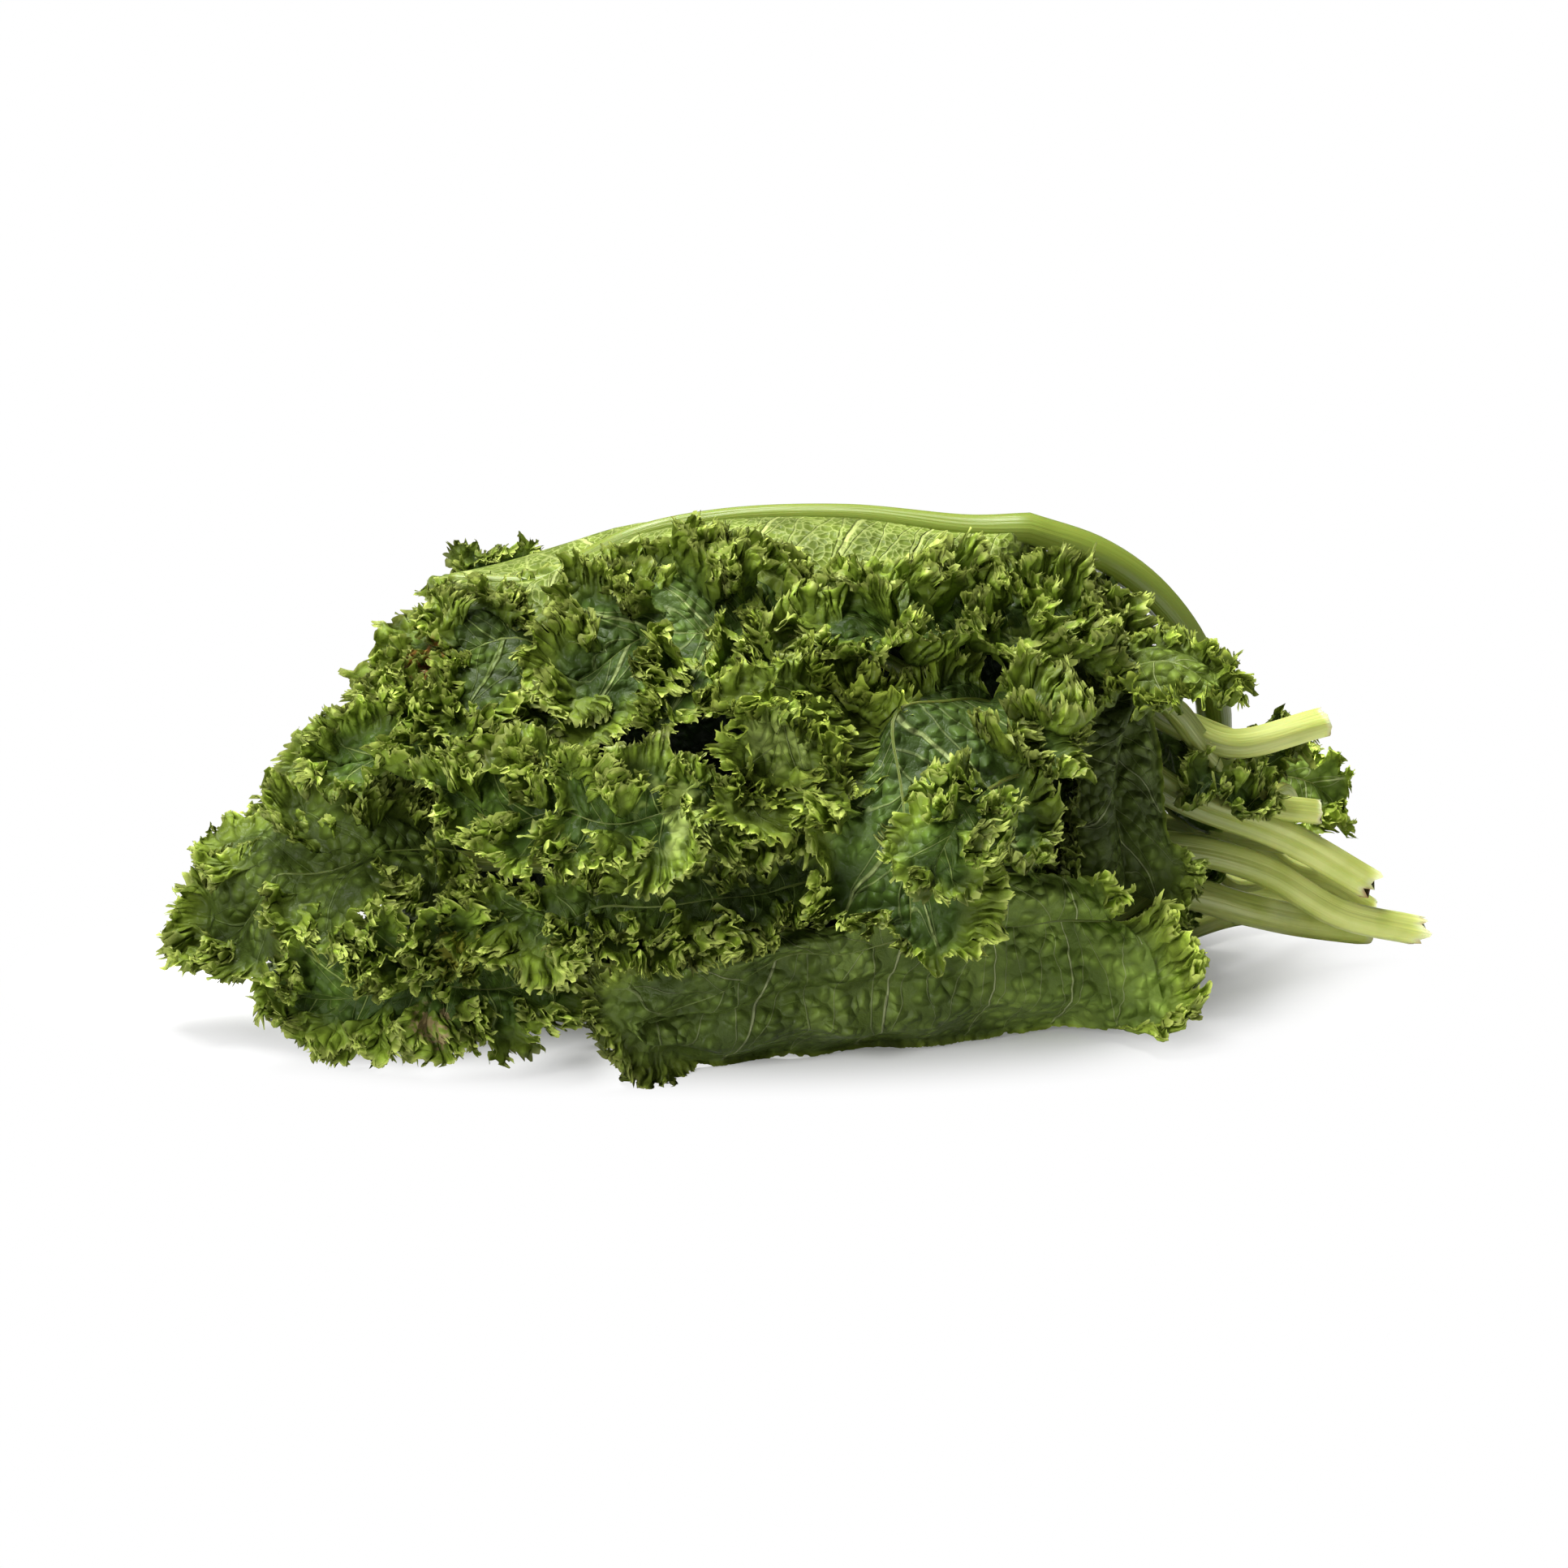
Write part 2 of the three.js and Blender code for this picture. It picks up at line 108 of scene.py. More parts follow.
# A leaf's stalk and rib are its middle line, and left and right are the edges of its smooth blade. Shares run
# along the edge or the rib. What a leaf leaves out is as above.
# bare: stretches of the edge with next to no ruffle. deeper: place, width and strength of a deeper stretch.
# folds: side (-1 left, 1 right), middle and width across the blade, start along it, height.
LEAVES = [
  dict(
    name="inner_curl_leaf", radius=2.2, bulge=(3, 3), lobes=(0.0, 0.6, 14.0), rib_radius=0.7,
    stalk_radius=0.8, depth=9.0,
    stalk=[[95, -60, 100], [80, -85, 105], [65, -105, 105]],
    rib=[[55, -120, 100], [45, -130, 80]],
    left=[[70, -115, 100], [65, -125, 85], [55, -130, 75]],
    right=[[50, -110, 105], [35, -120, 95], [35, -130, 80]],
  ),
  dict(
    name="centre_leaf", radius=6, bulge=(6, 6), lobes=(0.3, 0.8, 24.0), groove=(3.75, 0.65, 0.6),
    rib_radius=1.3, depth=14.0, torn=4.0,
    stalk=[[210, 25, 30], [180, 15, 50], [135, -10, 75], [100, -30, 105], [70, -50, 120]],
    rib=[[50, -65, 125], [35, -85, 120], [35, -100, 105], [40, -115, 75], [40, -120, 60]],
    left=[[80, -70, 120], [95, -90, 110], [95, -100, 90], [75, -115, 65], [55, -120, 55]],
    right=[[45, -55, 125], [30, -75, 110], [20, -90, 90], [5, -100, 70], [25, -115, 55]],
  ),
  dict(
    name="front_dark_leaf", radius=6, bulge=(9, 5), lobes=(0.93, 1.0, 34.0),
    bare=((0.13, 0.485), (0.62, 0.95)), rib_radius=0.9, bend=(26.0, 2.4), deeper=(0.05, 0.09, 0.5),
    rows=20, folds=((-1, 0.34, 0.12, 0.35, -6.0), (-1, 0.62, 0.16, 0.35, 3.0), (1, 0.5, 0.2, 0.3, 3.0)),
    stalk=[[215, 45, 5], [190, 40, 10], [165, 10, 25], [135, -15, 40], [110, -45, 40]],
    rib=[[90, -60, 45], [30, -85, 45], [0, -90, 40], [-55, -100, 20]],
    left=[
      [120, -55, 30], [130, -60, 15], [120, -60, 5], [90, -50, 2],
      [50, -60, 2], [10, -70, 2], [-40, -85, 5],
    ],
    right=[[100, -50, 55], [75, -60, 60], [35, -75, 55], [5, -85, 50], [-40, -95, 40], [-60, -100, 30]],
  ),
  dict(
    name="ruffle_leaf", radius=3, bulge=(5, 5),
    stalk=[[40, -30, 65], [15, -55, 80], [-5, -75, 90]],
    rib=[[-25, -95, 95], [-70, -105, 95], [-115, -85, 95]],
    left=[[-10, -90, 80], [-30, -105, 80], [-80, -110, 80], [-100, -100, 85]],
    right=[[-10, -80, 100], [-35, -90, 110], [-85, -85, 110], [-105, -75, 105]],
  ),
  dict(
    name="mid_leaf", radius=2.8, bulge=(5, 5),
    stalk=[[45, -20, 115], [25, -50, 120]],
    rib=[[10, -70, 125], [0, -85, 120], [-10, -105, 95]],
    left=[[30, -70, 115], [30, -90, 105], [10, -105, 85]],
    right=[[10, -60, 130], [-10, -80, 130], [-25, -90, 125], [-20, -105, 95]],
  ),
  dict(
    name="lower_mid_leaf", radius=5.5, bulge=(5, 5), lobes=(0.0, 0.5, 15.0), torn=5.0,
    stalk=[
      [230, 30, 10], [200, 20, 20], [170, 10, 40], [135, -10, 55],
      [90, -30, 60], [50, -55, 65], [15, -75, 65],
    ],
    rib=[[-10, -90, 65], [-65, -105, 65], [-110, -90, 55]],
    left=[[0, -85, 55], [-25, -95, 50], [-75, -105, 45], [-95, -95, 50]],
    right=[[-5, -80, 70], [-30, -90, 75], [-75, -95, 75], [-100, -90, 65]],
  ),
  dict(
    name="bottom_left_leaf", radius=3.2, bulge=(6, 5), lobes=(0.08, 0.7, 14.0),
    stalk=[[-20, -45, 20], [-50, -60, 25], [-75, -70, 30]],
    rib=[[-95, -85, 30], [-130, -90, 30], [-170, -80, 25]],
    left=[[-75, -80, 20], [-100, -90, 15], [-145, -80, 15], [-165, -80, 20]],
    right=[[-80, -80, 45], [-105, -85, 55], [-130, -90, 65], [-165, -80, 45]],
  ),
  dict(
    name="left_tip_leaf", radius=3.2, bulge=(6, 7), lobes=(0.2, 0.75, 22.0),
    stalk=[[-85, -30, 55], [-115, -40, 60]],
    rib=[[-135, -45, 65], [-155, -50, 60], [-175, -50, 55], [-200, -40, 25]],
    left=[[-125, -65, 45], [-145, -70, 40], [-170, -70, 30], [-190, -55, 20]],
    right=[[-130, -30, 70], [-150, -30, 80], [-175, -25, 75], [-205, -20, 45]],
  ),
  dict(
    name="left_upper_leaf", radius=2.8, bulge=(5, 5), lobes=(0.0, 0.45, 14.0),
    stalk=[[-70, 0, 85], [-100, -20, 90]],
    rib=[[-110, -35, 100], [-130, -45, 100], [-160, -40, 90]],
    left=[[-95, -45, 80], [-115, -60, 85], [-155, -55, 85]],
    right=[[-100, -20, 105], [-125, -20, 110], [-145, -20, 110], [-165, -25, 105]],
  ),
  dict(
    name="upper_left_leaf", radius=3, bulge=(5, 6), lobes=(0.05, 0.7, 12.0), spacing=0.32,
    stalk=[[-25, 15, 110], [-55, 0, 125]],
    rib=[[-75, -10, 125], [-100, -15, 130], [-140, -10, 110]],
    left=[[-50, -40, 100], [-75, -55, 95], [-100, -55, 95], [-140, -20, 105]],
    right=[[-70, 15, 135], [-95, 15, 140], [-120, 10, 135], [-140, 0, 120]],
  ),
  dict(
    name="centre_top_leaf", radius=3, bulge=(9, 7), lobes=(0.15, 0.8, 17.0),
    stalk=[[50, 5, 110], [25, 0, 125], [5, -10, 135]],
    rib=[[-15, -20, 140], [-45, -35, 140], [-75, -45, 125]],
    left=[[-5, -40, 120], [-20, -55, 110], [-55, -65, 105], [-70, -55, 105]],
    right=[[-5, 0, 150], [-20, 0, 155], [-60, -10, 155], [-75, -20, 145], [-80, -35, 135]],
  ),
  dict(
    name="upper_mid_leaf", radius=5.5, bulge=(6, 6), depth=17.0,
    stalk=[[190, 10, 95], [155, 0, 90], [135, 0, 100], [115, -5, 120]],
    rib=[[95, -10, 130], [70, -20, 135], [45, -35, 140], [0, -50, 135]],
    left=[[105, -30, 115], [80, -50, 120], [50, -60, 125], [5, -60, 130]],
    right=[[110, 10, 130], [90, 5, 140], [35, -15, 145], [10, -25, 140]],
  ),
  dict(
    name="upper_right_leaf", radius=2.6, bulge=(3, 3), lobes=(0.4, 0.9, 18.0), depth=8.0,
    stalk=[[170, 30, 80], [145, 10, 95], [120, -5, 110], [110, -10, 120]],
    rib=[[115, -25, 125], [135, -40, 125], [150, -45, 115]],
    left=[[115, -20, 125], [140, -30, 130], [150, -40, 120]],
    right=[[110, -30, 115], [120, -45, 115], [145, -50, 115]],
  ),
  dict(
    name="side_dark_leaf", radius=4.5, bulge=(3, 6), lobes=(0.93, 1.0, 30.0), bare=((0.05, 0.28),),
    rib_radius=1.0, depth=10.0,
    stalk=[[190, 15, 60], [170, 10, 65], [150, 0, 85], [135, -10, 105], [120, -20, 115]],
    rib=[[115, -30, 100], [115, -35, 60], [115, -35, 40]],
    left=[[125, -20, 105], [130, -30, 70], [135, -30, 55], [130, -30, 40]],
    right=[[105, -35, 110], [100, -40, 95], [100, -45, 55], [105, -40, 40]],
  ),
  dict(
    name="stem_curl_leaf", radius=2.4, bulge=(3, 3), lobes=(0.0, 0.2, 10.0), depth=9.0,
    stalk=[[185, 35, 55], [180, 25, 65], [170, 15, 70]],
    rib=[[160, 0, 70], [145, -10, 80], [135, -15, 75]],
    left=[[165, 0, 60], [150, -10, 60], [140, -20, 65]],
    right=[[165, 10, 80], [150, 0, 85], [135, -5, 85]],
  ),
  dict(
    name="arch_leaf", radius=7, bulge=(-4, -7), lobes=(0.93, 1.0, 24.0), pucker=0.0, bare=((0.22, 0.56),),
    rib_radius=6.2, stalk_radius=6.6, rib_taper=0.33, rib_sink=0.0, bend=(60.0, 0.0), spacing=0.6,
    stalk=[
      [150, 55, 25], [155, 55, 60], [155, 50, 90], [145, 45, 115],
      [130, 40, 135], [110, 35, 150], [85, 30, 160],
    ],
    rib=[
      [65, 30, 160], [20, 30, 165], [-25, 25, 165], [-55, 20, 160],
      [-75, 20, 150], [-85, 15, 145], [-105, 15, 145], [-125, 20, 145],
    ],
    left=[
      [75, 80, 125], [40, 110, 100], [0, 105, 110], [-35, 60, 150],
      [-55, 50, 155], [-80, 50, 150], [-105, 40, 145],
    ],
    right=[
      [70, 10, 150], [50, -5, 145], [10, -10, 150], [-35, -10, 150],
      [-65, -5, 145], [-80, 0, 140], [-105, 10, 140],
    ],
  ),
  dict(
    name="stem_back_leaf", radius=2.4, bulge=(3, 3), lobes=(0.3, 0.8, 16.0), depth=7.0,
    stalk=[[170, 60, 55], [175, 60, 60]],
    rib=[[185, 60, 60], [200, 60, 50], [205, 60, 45]],
    left=[[185, 65, 65], [200, 65, 65], [210, 60, 50]],
    right=[[180, 55, 50], [190, 55, 45], [200, 55, 40]],
  ),
  dict(
    name="stem_tuft_leaf", radius=2.2, bulge=(2, 2), lobes=(0.5, 0.9, 14.0), depth=6.0,
    stalk=[[145, 30, 55], [155, 30, 60]],
    rib=[[165, 35, 65], [180, 30, 85]],
    left=[[160, 30, 75], [175, 30, 90]],
    right=[[170, 35, 65], [185, 35, 80]],
  ),
  dict(
    name="top_left_leaflet", radius=1.8, bulge=(2, 2), depth=8.0,
    stalk=[[-70, 85, 110], [-85, 85, 120]],
    rib=[[-100, 85, 125], [-115, 85, 140]],
    left=[[-100, 90, 115], [-120, 85, 130]],
    right=[[-85, 85, 130], [-100, 80, 145]],
  ),
  dict(
    name="back_upper_leaf", radius=5, bulge=(7, 7), spacing=1.0,
    stalk=[[205, 62, 14], [180, 68, 32], [155, 74, 50], [130, 77, 62]],
    rib=[[60, 95, 72], [-20, 102, 74], [-80, 98, 70], [-115, 90, 62]],
    left=[[100, 72, 92], [40, 84, 106], [-30, 88, 106], [-90, 82, 96]],
    right=[[105, 92, 38], [40, 108, 42], [-30, 114, 42], [-95, 106, 38]],
  ),
  dict(
    name="back_mid_leaf", radius=3.5, bulge=(6, 6), spacing=0.9,
    stalk=[[134, 52, 66], [118, 54, 82]],
    rib=[[92, 58, 96], [52, 62, 104], [6, 62, 106], [-36, 58, 104], [-62, 52, 98]],
    left=[[102, 44, 112], [56, 44, 130], [6, 46, 134], [-42, 44, 130]],
    right=[[96, 70, 84], [50, 76, 86], [4, 78, 88], [-40, 72, 86]],
  ),
  dict(
    name="back_left_leaf", radius=3.5, bulge=(7, 7), spacing=0.75,
    stalk=[[-35, 58, 66], [-65, 62, 74], [-92, 62, 78]],
    rib=[[-120, 62, 80], [-143, 55, 74], [-166, 44, 60], [-187, 28, 42]],
    left=[[-100, 36, 104], [-129, 32, 104], [-155, 22, 91], [-179, 8, 68]],
    right=[[-115, 84, 50], [-140, 80, 40], [-166, 64, 28], [-189, 42, 23]],
  ),
  dict(
    name="back_low_leaf", radius=4.5, bulge=(5, 5), spacing=1.1,
    stalk=[[212, 78, 6], [185, 82, 8], [155, 88, 11]],
    rib=[[110, 98, 14], [60, 108, 16], [-10, 113, 17], [-80, 108, 16], [-128, 98, 13]],
    left=[[110, 84, 26], [50, 92, 30], [-20, 97, 30], [-90, 92, 28]],
    right=[[115, 110, 4], [50, 122, 3], [-20, 127, 3], [-90, 119, 3]],
  ),
  dict(
    name="stem_shade_leaf", radius=2.2, bulge=(3, 3), depth=10.0, spacing=0.4,
    stalk=[[185, 60, 20], [170, 50, 20], [155, 40, 25]],
    rib=[[145, 30, 25], [125, 5, 30], [115, -20, 25]],
    left=[[145, 35, 15], [130, 10, 10], [120, -5, 10]],
    right=[[145, 30, 40], [130, 5, 45], [120, -10, 40]],
  ),
  dict(
    name="mouth_leaf", radius=4.2, bulge=(4, 4), lobes=(0.1, 0.7, 17.0), depth=10.0, spacing=0.7,
    stalk=[[215, 40, 15], [200, 40, 25], [185, 40, 30], [165, 35, 45], [145, 25, 50]],
    rib=[[135, 20, 65], [130, 20, 80], [120, 20, 110], [110, 30, 135]],
    left=[[140, 5, 60], [135, 0, 80], [120, 5, 110], [110, 20, 130]],
    right=[[135, 40, 60], [125, 45, 80], [120, 45, 110], [110, 40, 135]],
  ),
  dict(
    name="inner_wall_leaf", radius=2.6, bulge=(3, 3), lobes=(0.2, 0.8, 17.0), depth=9.0, spacing=0.9,
    stalk=[[130, 15, 30], [110, 0, 40], [95, -15, 50]],
    rib=[[85, -30, 60], [75, -60, 75], [75, -70, 80]],
    left=[[90, -20, 40], [80, -50, 45], [75, -60, 60]],
    right=[[85, -20, 85], [80, -55, 100], [75, -65, 90]],
  ),
  dict(
    name="core_leaf", radius=4, bulge=(5, 5), lobes=(0.9, 1.0, 30.0), spacing=1.0, depth=9.0,
    stalk=[[192, 36, 40], [160, 32, 46], [128, 28, 54]],
    rib=[[95, 22, 66], [50, 12, 80], [0, 6, 85], [-60, 4, 80], [-110, 2, 68], [-140, 0, 55]],
    left=[[98, 22, 34], [60, 14, 14], [10, 10, 12], [-60, 6, 12], [-120, 0, 20]],
    right=[[104, 26, 92], [88, 24, 118], [50, 14, 134], [-20, 12, 136], [-80, 8, 126], [-125, 4, 98]],
  ),
  dict(
    name="core_low_leaf", radius=4.5, bulge=(0, 0), lobes=(0.9, 1.0, 30.0), spacing=1.3, bend=(60.0, 0.0),
    depth=8.0,
    stalk=[[203, 64, 5], [170, 58, 7], [135, 30, 6]],
    rib=[[90, 4, 4], [30, -4, 4], [-50, -6, 4], [-120, -8, 4], [-178, -16, 5]],
    left=[[85, -12, 4], [20, -14, 4], [-50, -16, 4], [-110, -24, 4], [-165, -28, 4]],
    right=[[90, 52, 2], [20, 64, 2], [-50, 62, 2], [-120, 46, 2], [-172, 20, 3]],
  ),
]

# ---------- numbers along curves ----------

def unit(vectors):
    length = np.linalg.norm(vectors, axis=-1, keepdims=True)
    return vectors / np.maximum(length, 1e-9)


def smooth_step(low, high, x):
    t = np.clip((x - low) / (high - low), 0.0, 1.0)
    return t * t * (3.0 - 2.0 * t)


def smooth_noise(x, seed):
    """Gentle random waves along x, between -1 and 1, one knot for each whole number."""
    knots = np.random.default_rng(seed).uniform(-1.0, 1.0, 2048)
    cell = np.floor(x).astype(int)
    t = smooth_step(0.0, 1.0, x - cell)
    return knots[cell % 2048] * (1.0 - t) + knots[(cell + 1) % 2048] * t


def curve_through(points, count):
    """Centripetal Catmull-Rom curve through the points, as count points at even distances, and its length."""
    p = np.asarray(points, float)
    p = np.vstack([2 * p[0] - p[1], p, 2 * p[-1] - p[-2]])
    dense = []
    for a, b, c, d in zip(p, p[1:], p[2:], p[3:]):
        ab, bc, cd = (math.sqrt(max(np.linalg.norm(v), 1e-6)) for v in (b - a, c - b, d - c))
        start = ((b - a) / ab - (c - a) / (ab + bc) + (c - b) / bc) * bc
        stop = ((c - b) / bc - (d - b) / (bc + cd) + (d - c) / cd) * bc
        t = np.linspace(0.0, 1.0, CURVE_STEPS, endpoint=False)[:, None]
        bend = 2 * b - 2 * c + start + stop
        rise = -3 * b + 3 * c - 2 * start - stop
        dense.append(b + start * t + rise * t**2 + bend * t**3)
    dense = np.vstack(dense + [p[-2][None]])
    walked = distances(dense)
    at = np.linspace(0.0, walked[-1], count)
    return np.stack([np.interp(at, walked, dense[:, k]) for k in range(3)], axis=1), walked[-1]


def distances(points):
    """How far along a line of points each of them lies."""
    return np.concatenate([[0.0], np.cumsum(np.linalg.norm(np.diff(points, axis=0), axis=1))])


def at_places(values, places):
    """Values between the entries of a list, or of each row of a grid of points, at fractional places."""
    cell = np.minimum(places.astype(int), values.shape[-1 if values.ndim == 1 else -2] - 2)
    t = places - cell
    if values.ndim == 1:
        return values[cell] * (1.0 - t) + values[cell + 1] * t
    return values[..., cell, :] * (1.0 - t[:, None]) + values[..., cell + 1, :] * t[:, None]


def sample(rows, share):
    """Values of an evenly spaced list of points at shares 0 to 1 of its length."""
    return at_places(rows, np.clip(share, 0.0, 1.0) * (len(rows) - 1))


def softened(rows, width):
    """Unit directions averaged with their neighbours over about the given number of entries."""
    window = np.hanning(width + 2)
    window /= window.sum()
    padded = np.vstack([np.repeat(rows[:1], width, axis=0), rows, np.repeat(rows[-1:], width, axis=0)])
    soft = np.stack([np.convolve(padded[:, k], window, mode="same") for k in range(3)], axis=1)
    return unit(soft[width:-width])


def leaf_seed(leaf):
    return sum(ord(letter) * (i + 3) for i, letter in enumerate(leaf["name"]))


def wave_phase(along, pitch, jitter, seed):
    """Turns of a wave of uneven length, counted along the edge."""
    start = np.random.default_rng(seed).uniform(0.0, 1.0)
    return along / pitch + start + jitter * smooth_noise(along / (1.7 * pitch), seed + 1)


def uneven(along, pitch, spread, seed):
    """A strength near 1 that changes along the edge."""
    return 1.0 + spread * smooth_noise(along / pitch + 50, seed)


def crumple(points, length, reach, seed):
    """How far a soft random field of waves of about the given length moves each point."""
    random = np.random.default_rng(seed)
    moved = np.zeros_like(points)
    for _ in range(CRUMPLE_WAVES):
        turning = unit(random.normal(size=3)) * 2 * math.pi / (length * random.uniform(0.7, 1.4))
        way = unit(random.normal(size=3))
        moved += way * np.sin(points @ turning + random.uniform(0, 2 * math.pi))[..., None]
    return moved * reach / math.sqrt(CRUMPLE_WAVES)


# ---------- one leaf's points ----------

class Sheet:
    """Rows of points that grow outwards, with the faces between them and a few values for each point."""

    def __init__(self):
        self.points, self.values, self.faces = [], [], []
        self.start, self.end = 0, 0

    def add_row(self, points, values):
        self.points.append(points)
        self.values.append(values)
        if self.end:
            self.join(self.end - self.start, len(points))
        self.start, self.end = self.end, self.end + len(points)

    def join(self, inner_count, outer_count):
        """Faces from the last row to one with as many points, or with a point more between every two."""
        i = np.arange(inner_count - 1)
        inner, outer = self.start + i, self.end + i * (1 if inner_count == outer_count else 2)
        corners = [inner, inner + 1, outer + 1, outer]
        if inner_count != outer_count:
            corners = [inner, inner + 1, outer + 2, outer + 1, outer]
        self.faces += np.stack(corners, axis=1).tolist()


def blade_columns(leaf):
    """Places along the lobed smooth edge, from the foot by the left side and the tip to the foot again."""
    foot, tip = leaf["stalk"][-1], leaf["rib"][-1]
    rib, rib_length = curve_through([foot] + leaf["rib"], RIB_STATIONS)
    edges, shares, sides = [], [], []
    for name, sign in (("left", -1.0), ("right", 1.0)):
        edge = curve_through([foot] + leaf[name] + [tip], EDGE_STATIONS)[0]
        share = np.linspace(0.0, 1.0, EDGE_STATIONS)
        edges.append(edge if sign < 0 else edge[::-1][1:])
        shares.append(share if sign < 0 else share[::-1][1:])
        sides.append(np.full(len(shares[-1]), sign))
    edge, share, side = np.vstack(edges), np.concatenate(shares), np.concatenate(sides)
    width = np.linalg.norm(edge - sample(rib, share), axis=1)
    root = vein_roots(rib_length, width, share)
    low, high, pitch = leaf.get("lobes", LOBES)
    lobe = share * rib_length / pitch
    lobe = lobe + LOBE_WANDER * smooth_noise(lobe / 1.5 + 20 * side + 40, leaf_seed(leaf))
    reach = low + (high - low) * np.abs(np.sin(math.pi * lobe)) ** 0.8
    rib_at = sample(rib, root)
    columns = {"across": edge - rib_at, "rib_at": rib_at, "share": share, "root": root, "lobe": lobe}
    columns.update({"reach": reach, "side": side})
    walked = distances(rib_at + columns["across"] * reach[:, None])
    even = np.linspace(0.0, walked[-1], round(walked[-1] / BASE_SPACING))
    places = np.interp(even, walked, np.arange(len(walked)))
    columns = {name: at_places(values, places) for name, values in columns.items()}
    tangent = unit(sample(unit(np.gradient(rib, axis=0)), columns["root"]))
    up = unit(np.cross(tangent, columns["across"]) * -np.sign(columns["side"])[:, None])
    columns["up"] = softened(up, UP_SOFTENING)
    columns["along"] = np.linspace(0.0, walked[-1], len(places))
    across = np.sign(columns["side"]) * at_places(width, places) / rib_length
    columns["flat"] = np.stack([columns["share"], across], axis=1)
    return rib, rib_length, columns


def vein_roots(rib_length, width, share):
    """Where on the rib the side vein to each edge point starts, as a share of the rib's length."""
    root = np.clip(share - VEIN_LEAN * width / rib_length, 0.0, 1.0)
    middle = int(np.argmax(share))
    root[: middle + 1] = np.maximum.accumulate(root[: middle + 1])
    root[middle:] = np.maximum.accumulate(root[middle:][::-1])[::-1]
    return np.minimum(root, LAST_VEIN)


def blade_row(leaf, columns, part):
    """Points of the smooth blade at a share of the way from rib to edge, and their flattened places."""
    t = part * columns["reach"]
    bulge = np.where(columns["side"] < 0, leaf["bulge"][0], leaf["bulge"][1])
    fullness = np.sin(np.pi * np.clip(columns["share"], 0.0, 1.0)) ** 0.5
    puff = np.abs(np.sin(2 * math.pi * columns["lobe"])) * math.sin(math.pi * min(1.0, part * 1.15))
    rise = bulge * fullness * np.sin(math.pi * t) + leaf.get("pucker", PUCKER) * puff
    for side, middle, width, start, height in leaf.get("folds", ()):
        strong = smooth_step(start, start + 0.25, columns["share"]) * (np.sign(columns["side"]) == side)
        rise = rise + height * strong * np.exp(-((t - middle) / width) ** 2)
    points = columns["rib_at"] + columns["across"] * t[:, None] + columns["up"] * rise[:, None]
    from_rib = columns["root"] * (1.0 - t) + columns["share"] * t
    return points, np.stack([from_rib, columns["flat"][:, 1] * t], axis=1)


def crossways(surface, up):
    """Unit directions along the rows of a grid of points, out across them, and off its upper side."""
    tangent = unit(np.gradient(surface, axis=1))
    heading = np.gradient(surface, axis=0)
    heading = unit(heading - (heading * tangent).sum(2, keepdims=True) * tangent)
    normal = np.cross(tangent, heading)
    turned = np.sign((normal[0] * up).sum())
    return tangent, heading, normal * turned


def ruffled(surface, up, phase, swing, roundness):
    """The grid of points swung to and fro off the sheet, in rounded loops."""
    tangent, _, normal = crossways(surface, up)
    sideways = swing * roundness * np.sin(4 * np.pi * phase)
    return surface + normal * (swing * np.sin(2 * np.pi * phase))[..., None] - tangent * sideways[..., None]


def raised_margin(leaf, columns, t, ends):
    """The margin as an even sheet that leaves the blade's edge and rises from it, before it is ruffled."""
    seed = leaf_seed(leaf)
    base, _ = blade_row(leaf, columns, 1.0)
    up = columns["up"]
    out = np.cross(unit(np.gradient(base, axis=0)), up)
    out = softened(out * np.sign((out * columns["across"]).sum()), OUT_SOFTENING)
    up = unit(up - (up * out).sum(1, keepdims=True) * out)
    along = columns["along"]
    depth = leaf.get("depth", FRILL_DEPTH) * uneven(along, 18.0, 0.3, seed + 11)
    if "deeper" in leaf:
        middle, width, more = leaf["deeper"]
        depth = depth * (1.0 + more * np.exp(-(((along / along[-1]) - middle) / width) ** 2))
    angle = smooth_step(0.0, 0.5, t) * (FRILL_RISE * uneven(along, 24.0, 0.7, seed + 3))
    heading = out * np.cos(angle)[..., None] + up * np.sin(angle)[..., None]
    step = np.diff(t, axis=0, prepend=0.0) * (depth * (FRILL_FOOT + (1.0 - FRILL_FOOT) * ends))
    return base + np.cumsum(heading * step[..., None], axis=0), depth


def edge_shares(leaf, along):
    """0 to 1: how strongly the margin is ruffled at each place along the edge."""
    ends = smooth_step(0.0, FADE_LENGTH, along) * smooth_step(0.0, FADE_LENGTH, along[-1] - along)
    part = along / along[-1]
    for low, high in leaf.get("bare", ()):
        begun = smooth_step(low - BARE_FADE, low + BARE_FADE, part)
        unfinished = smooth_step(high + BARE_FADE, high - BARE_FADE, part)
        ends = ends * (1.0 - BARE_STRENGTH * begun * unfinished)
    return ends


